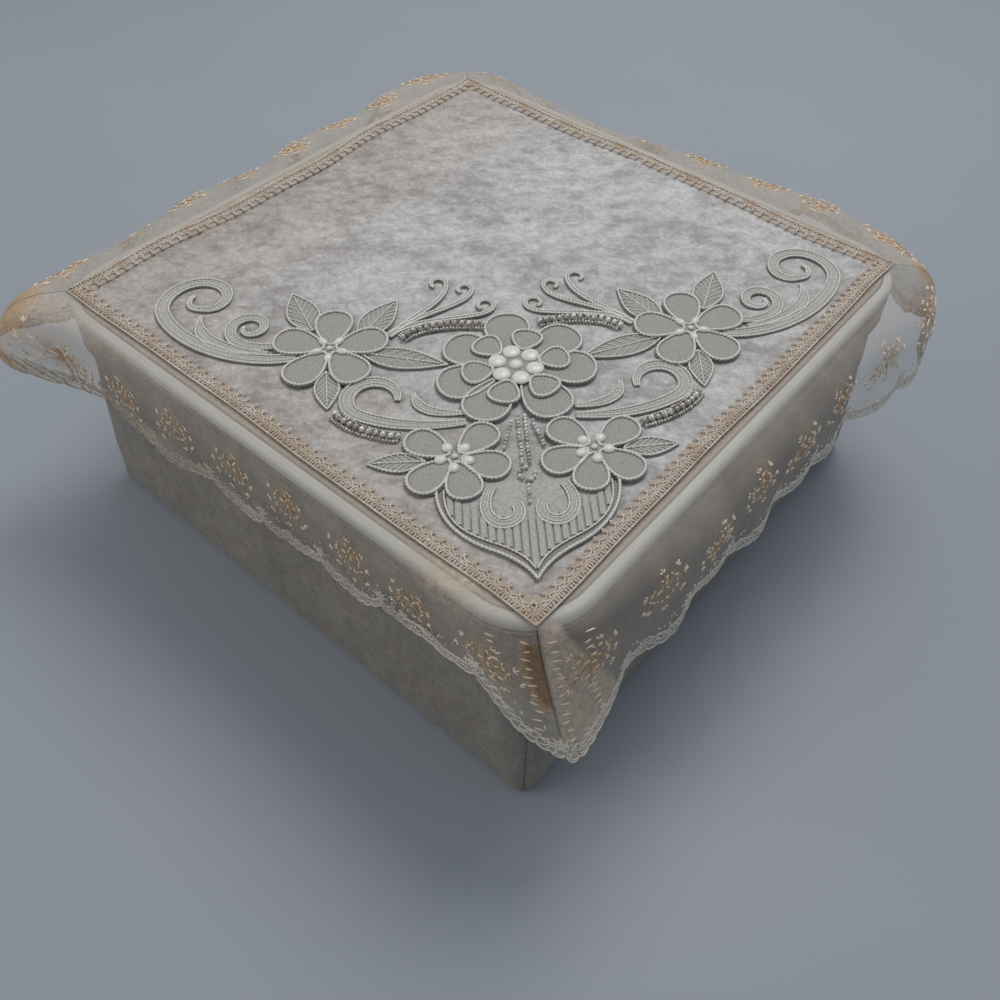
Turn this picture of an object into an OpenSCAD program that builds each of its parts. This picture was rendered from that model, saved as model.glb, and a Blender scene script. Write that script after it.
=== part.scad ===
// Wedding card box: a velvet-covered tub with a lift-off lid.
// The lid carries a velvet panel, a sewn-on corded applique, a braid border
// and a tulle lace flounce that falls over its rim on all four sides.

/* [Lid] */
// Outer width of the lid, left to right
lid_w = 400; // [360:5:480]
// Outer depth of the lid, front to back
lid_d = 400; // [360:5:480]
// Height of the lid's rim above the surface that the box stands on
rim_z = 167.5; // [140:2.5:260]
// Radius of the lid's corners in plan
lid_corner_r = 43; // [34:1:60]
// Depth of the lid's skirt below its rim
skirt_h = 28; // [20:1:40]
// Wall thickness of the skirt
skirt_t = 2.2; // [1.6:0.1:3]
// Thickness of the lid's top plate
plate_t = 2.2; // [1.6:0.1:4]
// How far the plate lies below the rim's moulded band
plate_recess = 1; // [0.5:0.1:2]
// Width of the moulded band round the top of the rim
band_w = 10; // [7:0.5:14]
// Rounding of the band's outer edge
band_round = 3.5; // [2:0.1:4.5]
// Depth of the two grooves below the band
groove_r = 0.8; // [0.4:0.1:1.2]
// Spacing of the two grooves
groove_pitch = 4; // [3:0.5:6]
// Radius of the bead along the skirt's lower edge
lip_r = 1.6; // [1:0.1:2.4]

/* [Tub] */
// Wall thickness of the tub
tub_t = 2.5; // [2:0.1:4]
// Inside rounding between the tub's wall and floor
tub_floor_r = 8; // [4:1:14]
// Width of the tub's thickened upper edge
tub_lip_t = 4.5; // [4.2:0.1:7]
// Height of the tub's thickened upper edge
tub_lip_h = 6; // [4:1:10]

/* [Velvet cover] */
// Thickness of the velvet with its backing
velvet_t = 1.5; // [1:0.1:2.5]
// Running gap between the cover and the lid's skirt
lid_gap = 1; // [0.6:0.1:2]
// Radius of the cover's corners at the base
cover_base_r = 8; // [5:1:20]
// How far the cover's foot turns in under the box
foot_turn = 3; // [1:0.5:6]
// Thickness of the stiff board sewn into the base
board_t = 3; // [2:0.5:5]

/* [Lid trim] */
// Thickness of the velvet panel on the lid
panel_t = 1.2; // [0.8:0.1:2]
// Distance from the rim's outer face to the braid's outer edge
braid_in = 10; // [8:0.5:14]
// Width of the braid border
braid_w = 12; // [8:0.5:16]
// Thickness of the braid border
braid_t = 1.6; // [1:0.1:2.5]
// Width of the lace that shows, from the braid's middle to the hem
lace_w = 100; // [80:2:130]
// Thickness that the tulle and its embroidery take up
lace_t = 0.8; // [0.6:0.1:1.2]
// Depth of the hem's scallops
scallop_depth = 9; // [4:1:14]
// Number of scallops on one side's hem
scallops = 8; // [5:1:12]

/* [Applique] */
// Sideways offset of the applique from the lid's diagonal
applique_shift = 9; // [-20:1:20]
// Thickness of the net that carries the applique
net_t = 0.4; // [0.3:0.1:0.8]
// Thickness of the embroidered fillings
fill_t = 0.6; // [0.4:0.1:1.2]
// Height of the raised cords above the net
cord_h = 1.3; // [0.9:0.1:2]
// Width of the raised cords
cord_w = 2; // [1.4:0.1:3]
// Diameter of the flat-backed pearls in the middle flower
pearl_d = 10; // [8:0.5:10.5]
// Diameter of the flat-backed pearls in the other flowers
small_pearl_d = 6.5; // [5:0.5:7]
// Height of the flat-backed pearls
pearl_h = 2; // [1.5:0.1:2.5]
// Diameter of the small sewn beads
bead_d = 2.8; // [2:0.2:3.4]

/* [Hidden] */
$fn = 64;

// Clearance between a soft piece and what it lies on
seat = 0.2;
// Clearance between the lid and the tub that it rests on
lid_seat = 0.3;
// Steps in each round corner of a piece that is worked out point by point
arc_steps = 6;
// Share of its side that a sewn piece fills, up to the corner's diagonal
cover_share = 0.9995;
braid_share = 0.999;
lace_share = 0.998;
// How far two solids of one piece run into each other
weld = 0.5;

velvet_colour = [0.75, 0.73, 0.71];
wall_colour = [0.55, 0.52, 0.48];
plastic_colour = [0.82, 0.86, 0.84];
card_colour = [0.72, 0.66, 0.56];
braid_colour = [0.74, 0.6, 0.47];
tulle_colour = [0.78, 0.68, 0.56];
net_colour = [0.68, 0.66, 0.63];
cord_colour = [0.82, 0.81, 0.78];
pearl_colour = [0.9, 0.88, 0.84];

plate_z = rim_z - plate_recess;
lid_under = plate_z - plate_t;
cover_half_w = lid_w / 2 - skirt_t - lid_gap;
cover_half_d = lid_d / 2 - skirt_t - lid_gap;
cover_top_r = lid_corner_r - skirt_t;
cover_top = lid_under - lid_seat - tub_lip_h;
skirt_foot = rim_z - skirt_h;
tub_half_w = cover_half_w - velvet_t - seat;
tub_half_d = cover_half_d - velvet_t - seat;
tub_r = cover_top_r - velvet_t - seat;
board_z = velvet_t + seat;
tub_z = board_z + board_t + seat;
// The cover turns in below the tub, over the thickness of the base
foot_h = tub_z;
tub_top = lid_under - lid_seat;

panel_z = plate_z + seat;
panel_top = panel_z + panel_t;
panel_in = braid_in + braid_w / 2;
lace_z = max(rim_z, panel_top) + seat / 2;
braid_z = lace_z + lace_t + seat;
// How far a round corner of radius 1 falls short of the sharp one, each way
corner_cut = 1 - sqrt(0.5);
// The panel's corners just clear the moulded band's inner edge
panel_r = max(band_round, lid_corner_r - band_w - (panel_in - band_w - 1.5 * seat) / corner_cut);
net_z = panel_top + seat;
motif_z = net_z + net_t + seat;

// ---- Shared shapes -------------------------------------------------------

// A rectangle with round corners, made of true arcs
module round_rect(half_w, half_d, r) {
    square([2 * half_w, 2 * (half_d - r)], center = true);
    square([2 * (half_w - r), 2 * half_d], center = true);
    for (sx = [-1, 1], sy = [-1, 1])
        translate([sx * (half_w - r), sy * (half_d - r)]) circle(r);
}

// Runs a wall profile round a rounded rectangle. The profile's x = 0 is the
// outer face and its y = 0 is the level z.
module run_round(half_w, half_d, r, z) {
    translate([0, 0, z]) {
        for (side = [0, 1]) {
            rotate([0, 0, 180 * side]) translate([half_w, half_d - r, 0]) rotate([90, 0, 0])
                linear_extrude(2 * (half_d - r)) children();
            rotate([0, 0, 180 * side + 90]) translate([half_d, half_w - r, 0]) rotate([90, 0, 0])
                linear_extrude(2 * (half_w - r)) children();
        }
        for (sx = [-1, 1], sy = [-1, 1])
            translate([sx * (half_w - r), sy * (half_d - r), 0])
                rotate([0, 0, sx > 0 ? (sy > 0 ? 0 : 270) : (sy > 0 ? 90 : 180)])
                    rotate_extrude(angle = 90) translate([r, 0]) children();
    }
}

// A point of a round-cornered side, for a side that looks along +X. The
// share runs from -1 to 1, from one corner's diagonal to the other's. The
// result is x, y and the angle of the outward direction.
function side_point(share, half_out, half_along, r) =
    let (straight = half_along - r,
         a = abs(share) * (straight + r * PI / 4),
         turn = max(0, (a - straight) / r) * 180 / PI,
         dir = share < 0 ? -1 : 1)
    [half_out - r + r * cos(turn), dir * (min(a, straight) + r * sin(turn)), dir * turn];

// Closed solid between two sheets of points, given as rows
module between_sheets(near_rows, far_rows) {
    n = len(near_rows);
    m = len(near_rows[0]);
    k = n * m;
    near_points = [for (row = near_rows) each row];
    far_points = [for (row = far_rows) each row];
    faces = [
        for (i = [0 : n - 2], j = [0 : m - 2])
            each let (a = i * m + j, b = a + 1, c = a + m, d = c + 1)
                [[a, d, b], [a, c, d], [k + a, k + b, k + d], [k + a, k + d, k + c]],
        for (j = [0 : m - 2])
            each let (a = j, b = j + 1, c = (n - 1) * m + j, d = c + 1)
                [[a, b, k + b], [a, k + b, k + a], [c, k + d, d], [c, k + c, k + d]],
        for (i = [0 : n - 2])
            each let (a = i * m, b = a + m, c = a + m - 1, d = b + m - 1)
                [[a, k + b, b], [a, k + a, k + b], [c, d, k + d], [c, k + d, k + c]]
    ];
    polyhedron(concat(near_points, far_points), faces);
}

// ---- Tub and its velvet cover --------------------------------------------

module tub_wall_profile() {
    height = tub_top - tub_z;
    translate([-tub_t, 0]) square([tub_t, height]);
    translate([-tub_lip_t, height - tub_lip_h]) square([tub_lip_t, tub_lip_h]);
    difference() {
        translate([-tub_t - tub_floor_r, 0]) square(tub_t + tub_floor_r);
        translate([-tub_t - tub_floor_r, tub_t + tub_floor_r]) circle(tub_floor_r);
        translate([-tub_t - tub_floor_r - weld, tub_t + tub_floor_r])
            square(tub_floor_r + weld);
    }
}

module tub() {
    color(plastic_colour) {
        run_round(tub_half_w, tub_half_d, tub_r, tub_z) tub_wall_profile();
        inset = tub_t + tub_floor_r - weld;
        translate([0, 0, tub_z]) linear_extrude(tub_t)
            round_rect(tub_half_w - inset, tub_half_d - inset, tub_r - inset);
    }
}

module base_outline() {
    inset = velvet_t + foot_turn + seat;
    round_rect(cover_half_w - inset, cover_half_d - inset, cover_base_r);
}

module base_cover() {
    color(wall_colour) linear_extrude(velvet_t) base_outline();
}

module base_board() {
    color(card_colour) translate([0, 0, board_z]) linear_extrude(board_t) base_outline();
}

// How far the cover's foot lies inside the wall at height z
function foot_inset(z) = foot_turn * pow(max(0, 1 - z / foot_h), 2);

// Corner radius of the cover at height z: tight over the base board, and as
// round as the lid where the lid's skirt goes over it
function cover_r(z) = cover_base_r + (cover_top_r - cover_base_r) * min(1, z / skirt_foot);

// One ring of the cover's side, as points from corner to corner
function cover_row(z, inset, half_out, half_along) =
    let (r = cover_r(z) - inset, f = foot_inset(z) + inset)
    [for (i = [-arc_steps - 1 : arc_steps + 1])
        let (edge = (half_along - cover_r(z)) / (half_along - cover_r(z) + cover_r(z) * PI / 4),
             share = abs(i) > 0 ? sign(i) * (edge + (1 - edge) * (abs(i) - 1) / arc_steps) : 0,
             p = side_point(share * cover_share, half_out - f, half_along - f, r))
        [p[0], p[1], z]];

module cover_side(half_out, half_along) {
    levels = [0, foot_h / 4, foot_h / 2, foot_h, skirt_foot / 2, skirt_foot, cover_top];
    color(wall_colour) between_sheets(
        [for (z = levels) cover_row(z, 0, half_out, half_along)],
        [for (z = levels) cover_row(z, velvet_t, half_out, half_along)]);
}

module velvet_right() { cover_side(cover_half_w, cover_half_d); }
module velvet_back() { rotate([0, 0, 90]) cover_side(cover_half_d, cover_half_w); }
module velvet_left() { rotate([0, 0, 180]) cover_side(cover_half_w, cover_half_d); }
module velvet_front() { rotate([0, 0, 270]) cover_side(cover_half_d, cover_half_w); }

// ---- Lid ------------------------------------------------------------------

// Section of the rim: a flat band with a rounded edge, two grooves below it,
// the skirt, and a bead along the skirt's lower edge
function lid_rim_points() =
    let (inner_foot = -plate_recess - plate_t,
         edge = [for (a = [90 : -18 : 0]) [band_round * (cos(a) - 1), band_round * (sin(a) - 1)]],
         first = -2 * band_round,
         grooves = [for (i = [0, 1], k = [1, 0, -1])
             [k == 0 ? -groove_r : 0, first - groove_pitch * i + k * groove_r]],
         bead = [for (a = [90 : -22.5 : -90])
             [(lip_r - skirt_t / 2) * cos(a), lip_r * (1 + sin(a)) - skirt_h]])
    concat([[-band_w, inner_foot], [-band_w, 0]], edge, grooves, bead,
           [[-skirt_t, -skirt_h], [-skirt_t, inner_foot]]);

module lid_shell() {
    color(plastic_colour) {
        run_round(lid_w / 2, lid_d / 2, lid_corner_r, rim_z)
            polygon(lid_rim_points());
        inset = band_w - weld;
        translate([0, 0, lid_under]) linear_extrude(plate_t)
            round_rect(lid_w / 2 - inset, lid_d / 2 - inset, lid_corner_r - inset);
    }
}

module velvet_top() {
    color(velvet_colour) translate([0, 0, panel_z]) linear_extrude(panel_t)
        round_rect(lid_w / 2 - panel_in, lid_d / 2 - panel_in, panel_r);
}

// One mitred length of the braid, for a side that looks along +X
module braid_side(half_out, half_along) {
    r = lid_corner_r - braid_in;
    outer = [for (i = [-arc_steps : arc_steps])
        let (edge = (half_along - braid_in - r) / (half_along - braid_in - r + r * PI / 4),
             share = i == 0 ? 0 : sign(i) * (edge + (1 - edge) * (abs(i) - 1) / (arc_steps - 1)),
             p = side_point(share * braid_share, half_out - braid_in, half_along - braid_in, r))
        [p[0], p[1]]];
    inner_x = half_out - braid_in - braid_w;
    inner_y = half_along - braid_in - braid_w - seat;
    color(braid_colour) translate([0, 0, braid_z]) linear_extrude(braid_t)
        polygon(concat(outer, [[inner_x, inner_y], [inner_x, -inner_y]]));
}

module braid_right() { braid_side(lid_w / 2, lid_d / 2); }
module braid_back() { rotate([0, 0, 90]) braid_side(lid_d / 2, lid_w / 2); }
module braid_left() { rotate([0, 0, 180]) braid_side(lid_w / 2, lid_d / 2); }
module braid_front() { rotate([0, 0, 270]) braid_side(lid_d / 2, lid_w / 2); }

// ---- Lace flounce ---------------------------------------------------------

// Points along the lace, and down it. They lie closer together over the rim.
lace_cols = 40;
lace_rows = 9;
row_growth = 1.6;
// Clearance between the lace and what it lies on
lace_lift = 0.1;
// Drop over which that clearance turns from upwards to outwards
lace_turn = band_round + lace_t;
// Share of a side's half, next to the corner, over which a tail lengthens
tail_share = 0.3;
// How much more slowly a tail turns down, for each millimetre of its extra length
tail_flare = 1.8;
// Inner edge of the lace, measured inwards from the lid's outer face
lace_in = braid_in + braid_w / 2;
// Length over which the lace turns down, at five places along each side, from
// its left-hand corner seen from outside: short where it hugs the rim, and
// long where the stiff tulle stands out. Each is a share of the lace's width.
front_falls = lace_w * [0.98, 0.2, 0.1, 0.1, 0.1];
right_falls = lace_w * [0.1, 0.3, 0.32, 0.34, 0.5];
back_falls = lace_w * [0.5, 0.72, 0.34, 0.2, 0.7];
left_falls = lace_w * [0.7, 0.6, 0.46, 0.3, 0.98];
// Extra length that hangs at the left-hand and right-hand ends of each side,
// as a share of the lace's width
front_tails = lace_w * [0, 0.2];
right_tails = lace_w * [0.2, 0.07];
back_tails = lace_w * [0.07, 0];
left_tails = lace_w * [0, 0];

function smooth(t) = t * t * (3 - 2 * t);

// Value at share (-1 to 1) along five even stations, with a smooth change
function along(values, share) =
    let (t = (share + 1) * 2, i = min(3, floor(t)), f = smooth(t - i))
    values[i] * (1 - f) + values[i + 1] * f;

// Angle below the horizontal at a run s along the lace
function lace_angle(s, fall) = 90 * smooth(min(1, max(0, (s - lace_in + band_round) / fall)));

// Outward run and drop of the lace, added up along its length
function lace_run(length, fall) =
    let (start = lace_in - band_round,
         s = concat([0], [for (i = [0 : lace_rows])
             start + (length - start) * pow(i / lace_rows, row_growth)]))
    [for (i = 0, out = 0, drop = 0; i < len(s);
          a = i + 1 < len(s) ? lace_angle((s[i] + s[i + 1]) / 2, fall) : 0,
          ds = i + 1 < len(s) ? s[i + 1] - s[i] : 0,
          out = out + ds * cos(a),
          drop = drop + ds * sin(a),
          i = i + 1) [out, drop]];

// One column of the lace, from under the braid to the hem
function lace_column(share, half_out, half_along, falls, tails, lift) =
    let (p = side_point(share, half_out, half_along, lid_corner_r),
         tail = share > 0 ? tails[1] : tails[0],
         scallop = scallop_depth * abs(sin(90 * scallops * (share + 1))),
         growth = max(0, abs(share) - 1 + tail_share) / tail_share,
         extra = tail * growth * growth,
         length = lace_w - scallop_depth + scallop + extra)
    [for (q = lace_run(length, along(falls, share) + tail_flare * extra))
        let (turned = min(1, q[1] / lace_turn), out = q[0] - lace_in + lift * turned)
        [p[0] + out * cos(p[2]), p[1] + out * sin(p[2]), lace_z - q[1] + lift * (1 - turned)]];

module lace_side(half_out, half_along, falls, tails) {
    shares = [for (i = [0 : lace_cols]) lace_share * (2 * i / lace_cols - 1)];
    color(tulle_colour) between_sheets(
        [for (u = shares) lace_column(u, half_out, half_along, falls, tails, lace_t + lace_lift)],
        [for (u = shares) lace_column(u, half_out, half_along, falls, tails, lace_lift)]);
}

module lace_right() { lace_side(lid_w / 2, lid_d / 2, right_falls, right_tails); }
module lace_back() { rotate([0, 0, 90]) lace_side(lid_d / 2, lid_w / 2, back_falls, back_tails); }
module lace_left() { rotate([0, 0, 180]) lace_side(lid_w / 2, lid_d / 2, left_falls, left_tails); }
module lace_front() { rotate([0, 0, 270]) lace_side(lid_d / 2, lid_w / 2, front_falls, front_tails); }

// ---- Corded floral applique -----------------------------------------------
// It lies on the lid's diagonal. Its own x runs across that diagonal and its
// own y along it, with the fan's tip nearest to the front corner. Each side is
// drawn once, for x > 0, and mirrored. The drawing fits a velvet panel that is
// 368 units square, and a unit is a millimetre on a lid 400 mm square.
unit = (min(lid_w, lid_d) - 2 * panel_in) / 368;
// Distance of the drawing's origin from the lid's front and right-hand sides
origin_in = min(lid_w, lid_d) / 2;
// The applique is sewn on a little askew. A point moves across the diagonal by
// the first share of its y, and along the diagonal by the second share of its x.
askew = [0.022, 0.03];

middle_at = unit * [0, -88];
side_at = unit * [109.5, -63];
lower_at = unit * [38, -157];
// The flowers lie on the scrolls and leaves, and the pearls on the petals
flower_z = motif_z + cord_h + seat;
inner_z = flower_z + cord_h + seat;
pearl_z = inner_z + cord_h + seat;
pearl_ring_r = pearl_d * 1.2;
small_pearl_h = pearl_h * 0.75;
small_pearl_ring_r = small_pearl_d * 1.25;
// Width of the thin cords, which have no filling, at their start and end
thin_cord = [1.6 * cord_w, 1.2 * cord_w];
bead_pitch = bead_d * 1.3;
// Width of net that shows beyond the scrolls
net_margin = 5 * unit;
curve_points = 14;
turn_step = 24;

module at_drawing(z) {
    translate([lid_w / 2 - origin_in, origin_in - lid_d / 2, z]) rotate([0, 0, 45])
        translate([applique_shift, 0, 0]) children();
}

module on_lid(z) {
    at_drawing(z)
        multmatrix([[1, askew[0], 0, 0], [askew[1], 1, 0, 0], [0, 0, 1, 0], [0, 0, 0, 1]])
            children();
}

// Place of a drawing's point after it is sewn on askew, on the left for side -1
function sewn(p, side) = [side * p[0] + askew[0] * p[1], p[1] + side * askew[1] * p[0]];

module both_sides() {
    children();
    mirror([1, 0, 0]) children();
}

function mirrored(path) = [for (p = path) [-p[0], p[1]]];

// Points of a smooth curve that leaves its first point towards the second
// and arrives at the fourth from the third
function bend(points) =
    [for (i = [0 : curve_points]) let (t = i / curve_points, s = 1 - t)
        [s * s * s, 3 * s * s * t, 3 * s * t * t, t * t * t] * points];

// Points of a spiral about a centre, without the first one
function curl(centre, r0, r1, a0, a1) =
    let (n = ceil(abs(a1 - a0) / turn_step))
    [for (i = [1 : n]) polar(centre, r0 + (r1 - r0) * i / n, a0 + (a1 - a0) * i / n)];

function polar(centre, r, a) = centre + r * [cos(a), sin(a)];

// Unit vector to the left of a path at point i
function left_of(path, i) =
    let (d = path[min(i + 1, len(path) - 1)] - path[max(i - 1, 0)])
    [-d[1], d[0]] / norm(d);

// A path moved to its left by an amount that changes evenly from d0 to d1
function beside(path, d0, d1) =
    [for (i = [0 : len(path) - 1])
        path[i] + left_of(path, i) * (d0 + (d1 - d0) * i / (len(path) - 1))];

function skip_first(path) = [for (i = [1 : len(path) - 1]) path[i]];

function backwards(path) = [for (i = [len(path) - 1 : -1 : 0]) path[i]];

// Flat strip along a path, widths[0] wide at its start and widths[1] at its end
module strip(path, widths) {
    left = beside(path, widths[0] / 2, widths[1] / 2);
    right = beside(path, -widths[0] / 2, -widths[1] / 2);
    polygon(concat(left, backwards(right)));
}

// Embroidered band: a filling between two raised cords
module band(path, widths) {
    filling = widths - [cord_w, cord_w];
    linear_extrude(fill_t) strip(path, filling);
    linear_extrude(cord_h) for (side = [-0.5, 0.5])
        strip(beside(path, side * filling[0], side * filling[1]), [cord_w, cord_w]);
}

// Outline of a petal that grows from the origin along +X, drawn inset
function petal_points(length, width, inset) =
    [for (a = [0 : 20 : 340])
        [length / 2 - (length / 2 - inset) * cos(a),
         (width / 2 - inset) * sin(a) * (0.94 - 0.36 * cos(a))]];

module petal(length, width) {
    linear_extrude(fill_t) polygon(petal_points(length, width, cord_w / 2));
    linear_extrude(cord_h) difference() {
        polygon(petal_points(length, width, 0));
        polygon(petal_points(length, width, cord_w));
    }
}

// Petals of a length and width that grow from a circle, at a list of angles
module petals(angles, root, size) {
    for (a = angles) rotate([0, 0, a]) translate([root, 0, 0]) petal(size[0], size[1]);
}

function even_angles(count, start) = [for (i = [0 : count - 1]) start + 360 * i / count];

module flower(angles, root, size) {
    petals(angles, unit * root, unit * size);
    linear_extrude(cord_h)
        polygon([for (a = [0 : 20 : 340]) polar([0, 0], unit * root + cord_w, a)]);
}

// Outline of a pointed leaf from its base to its tip, drawn inset
function leaf_points(length, width, inset) =
    let (x0 = inset * 2, span = length - 4 * inset)
    concat([for (i = [0 : 9]) [x0 + span * i / 9, (width / 2 - inset) * sin(20 * i)]],
           [for (i = [8 : -1 : 1]) [x0 + span * i / 9, (inset - width / 2) * sin(20 * i)]]);

// A leaf with a raised edge and midrib, with its base at a point
module leaf(base, angle, size) {
    length = unit * size[0];
    width = unit * size[1];
    translate(unit * base) rotate([0, 0, angle]) {
        linear_extrude(fill_t) polygon(leaf_points(length, width, cord_w / 4));
        linear_extrude(cord_h) {
            difference() {
                polygon(leaf_points(length, width, 0));
                polygon(leaf_points(length, width, cord_w * 0.7));
            }
            translate([cord_w, -cord_w / 4]) square([length * 0.75, cord_w / 2]);
        }
    }
}

// Distance run along a path at each of its points
function runs(path) =
    [for (i = 0, d = 0; i < len(path);
          d = i + 1 < len(path) ? d + norm(path[i + 1] - path[i]) : d, i = i + 1) d];

// Evenly spaced points along a path, about a pitch apart
function even(path, pitch) =
    let (d = runs(path), n = floor(d[len(d) - 1] / pitch),
         xs = [for (i = [0 : len(path) - 1]) [d[i], path[i][0]]],
         ys = [for (i = [0 : len(path) - 1]) [d[i], path[i][1]]])
    [for (k = [0 : n]) let (at = k * d[len(d) - 1] / n) [lookup(at, xs), lookup(at, ys)]];

module beads(points) {
    for (p = points) translate([p[0], p[1], bead_d / 2]) sphere(d = bead_d, $fn = 24);
}

// A row of beads along a path, and its mirror image
module bead_rows(path) {
    for (side = [-1, 1]) beads([for (p = even(path, bead_pitch)) sewn(p, side)]);
}

// Round pearl with a flat back and a domed top
module flat_pearl(at, d, h) {
    translate(at) rotate_extrude()
        polygon([[0, 0], [d / 2, 0], [d / 2, h * 0.4], [d * 0.4, h * 0.75], [d * 0.22, h],
                 [0, h]]);
}

// Routes of the scrolls, for the right-hand side. A scroll bends in from its
// root and then curls about its eye.
function scroll(root, eye, r0, r1, a0, a1) =
    concat(bend(root), curl(eye, r0, r1, a0, a1));

volute_at = unit * [189.8, -9.5];
volute_r = unit * 25.5;
volute_in = polar(volute_at, volute_r, -15);
volute_path = concat(
    scroll(concat(unit * [[129, -67], [165, -74]], [volute_in - unit * [7.3, 27.2], volute_in]),
           volute_at, volute_r, unit * 8, -15, 265),
    curl(volute_at + unit * [1.5, 0.5], unit * 8.3, unit * 7, 270, 410));
// Plain leaf-like scroll inside the volute's stem
crescent_path = bend(unit * [[146, -62.5], [172, -58], [193, -46], [189.5, -24]]);

inner_volute_at = unit * [158.5, -38];
inner_volute_r = unit * 12;
inner_volute_path = scroll(
    concat(unit * [[131, -54], [147, -58.5], [169, -57]],
           [polar(inner_volute_at, inner_volute_r, -10)]),
    inner_volute_at, inner_volute_r, unit * 4, -10, 380);

// The three plumes part from one thick stem
plume_root = unit * [75, -53];
upper_plume_path = scroll(concat([plume_root], unit * [[60, -33], [39, -24], [39, -4]]),
    unit * [44.5, -4], unit * 5.5, unit * 4, 180, -60);
middle_plume_path = scroll(concat([plume_root], unit * [[60, -31], [23, -29], [23, -11]]),
    unit * [28, -11], unit * 5, unit * 3.5, 180, -60);
lower_plume_path = scroll(concat([plume_root], unit * [[56, -32], [10, -46], [10, -28]]),
    unit * [15.5, -28], unit * 5.5, unit * 4, 180, -60);

lower_scroll_at = unit * [83.5, -107];
lower_scroll_r = unit * 14.5;
lower_scroll_in = polar(lower_scroll_at, lower_scroll_r, -60);
lower_scroll_path = scroll(
    concat(unit * [[31, -130], [60, -133]], [lower_scroll_in - unit * [12.1, 7], lower_scroll_in]),
    lower_scroll_at, lower_scroll_r, lower_scroll_r, -60, 190);
lower_hook_path = bend(unit * [[31, -122.5], [50, -122.5], [59.5, -117], [60, -104]]);

foot_curl_path = scroll(unit * [[19, -179], [24, -186], [25.5, -198], [17.8, -203.4]],
    unit * [13.5, -196], unit * 8.5, unit * 7.5, -60, -215);

bead_paths = [
    bend(unit * [[17.5, -45.8], [36, -41.8], [58, -42.8], [68, -54.6]]),
    bend(unit * [[17.5, -50], [36, -46], [56, -47], [64.5, -57.4]]),
    bend(unit * [[68.5, -136.8], [82, -134], [96, -126], [101.8, -116.8]]),
    bend(unit * [[68.5, -141.2], [84, -138], [99, -129.5], [105.8, -119]])
];
// The stalks between the middle flower and the fan are rows of beads, which
// end in a ring of beads with a short row below it
stalk_paths = unit * [
    [[2, -128.5], [2, -164]],
    [[6, -133], [11, -150]]
];
bead_ring_at = unit * [0, -172];
bead_ring_r = unit * 4.5;
short_stalk = unit * [[0, -180.5], [0, -191.5]];

// The fan's edge is an ogee from its shoulder over its waist to its tip
function ogee(shoulder, waist, tip) =
    concat(bend(unit * [shoulder, shoulder - [-1, 22], waist + [15, 7.5], waist]),
           skip_first(bend(unit * [waist, waist - [10, 5], tip + [3, 7], tip])));
fan_edge = ogee([48.5, -177], [21, -221], [1, -239.5]);
fan_tip = unit * [0, -240.5];
fan_line = ogee([44, -179], [19.5, -216], [3, -228]);
fan_stripe_pitch = unit * 5;
fan_stripes = 8;
fan_stripe_top = unit * -210;
fan_shoulder_top = unit * -188;
fan_shoulder_x = unit * 27;

module applique_net() {
    color(net_colour) on_lid(net_z) linear_extrude(net_t) {
        translate(middle_at) circle(r = 44 * unit);
        polygon(concat([unit * [0, -80]], fan_edge, [fan_tip - [0, cord_w]],
                       mirrored(backwards(fan_edge))));
        both_sides() {
            translate(side_at) circle(r = 30 * unit);
            translate(lower_at) circle(r = 28 * unit);
            translate(volute_at) circle(r = volute_r + net_margin);
            translate(inner_volute_at) circle(r = inner_volute_r + net_margin);
            translate(lower_scroll_at) circle(r = lower_scroll_r + net_margin);
            polygon(unit * [[126, -56], [128, -72], [160, -74], [188, -60], [208, -42],
                            [216, -12], [200, -40], [170, -55]]);
            polygon(unit * [[92, -60], [67, -14], [80, -12], [112, -40], [132, -2], [146, -6],
                            [136, -56]]);
            polygon(unit * [[10, -60], [6, -24], [19, -18], [36, 3], [50, 0], [54, -18],
                            [80, -50], [84, -60]]);
            polygon(unit * [[20, -100], [20, -136], [60, -146], [96, -136], [110, -120],
                            [112, -84], [60, -60]]);
            polygon(unit * [[50, -150], [80, -150], [90, -157], [80, -165], [50, -166]]);
        }
    }
}

module middle_flower() {
    color(cord_colour) on_lid(flower_z) translate(middle_at)
        flower(even_angles(7, 90), 10, [38, 27]);
}

module middle_inner_petals() {
    color(cord_colour) on_lid(inner_z) translate(middle_at)
        petals(even_angles(6, 10), unit * 14, unit * [18, 18]);
}

module pearls() {
    color(pearl_colour) {
        at_drawing(pearl_z) for (a = even_angles(6, 40))
            flat_pearl(sewn(polar(middle_at, pearl_ring_r, a), 1), pearl_d, pearl_h);
        // The pearl in the very middle is deeper, because no inner petal lies under it
        at_drawing(inner_z)
            flat_pearl(sewn(middle_at, 1), pearl_d * 0.75, pearl_h + pearl_z - inner_z);
        at_drawing(inner_z) for (side = [-1, 1], at = [side_at, lower_at]) {
            flat_pearl(sewn(at, side), small_pearl_d * 0.6, small_pearl_h);
            for (p = [for (a = even_angles(5, 60)) polar(at, small_pearl_ring_r, a)])
                flat_pearl(sewn(p, side), small_pearl_d, small_pearl_h);
        }
    }
}

module side_flowers() {
    color(cord_colour) on_lid(flower_z) both_sides() translate(side_at)
        flower(even_angles(5, 94), 4, [31, 23]);
}

module lower_flowers() {
    color(cord_colour) on_lid(flower_z) both_sides() translate(lower_at)
        flower([134, 34, -41, -103, -160], 4, [27, 19]);
}

module leaves() {
    color(cord_colour) on_lid(motif_z) both_sides() {
        leaf([121, -44], 68, [40, 19]);
        leaf([93, -53], 124, [41, 19]);
        leaf([91, -67], 196, [53, 17]);
        leaf([110.5, -82], -94, [31, 14]);
        leaf([54, -158], 2, [31, 13]);
    }
}

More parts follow.
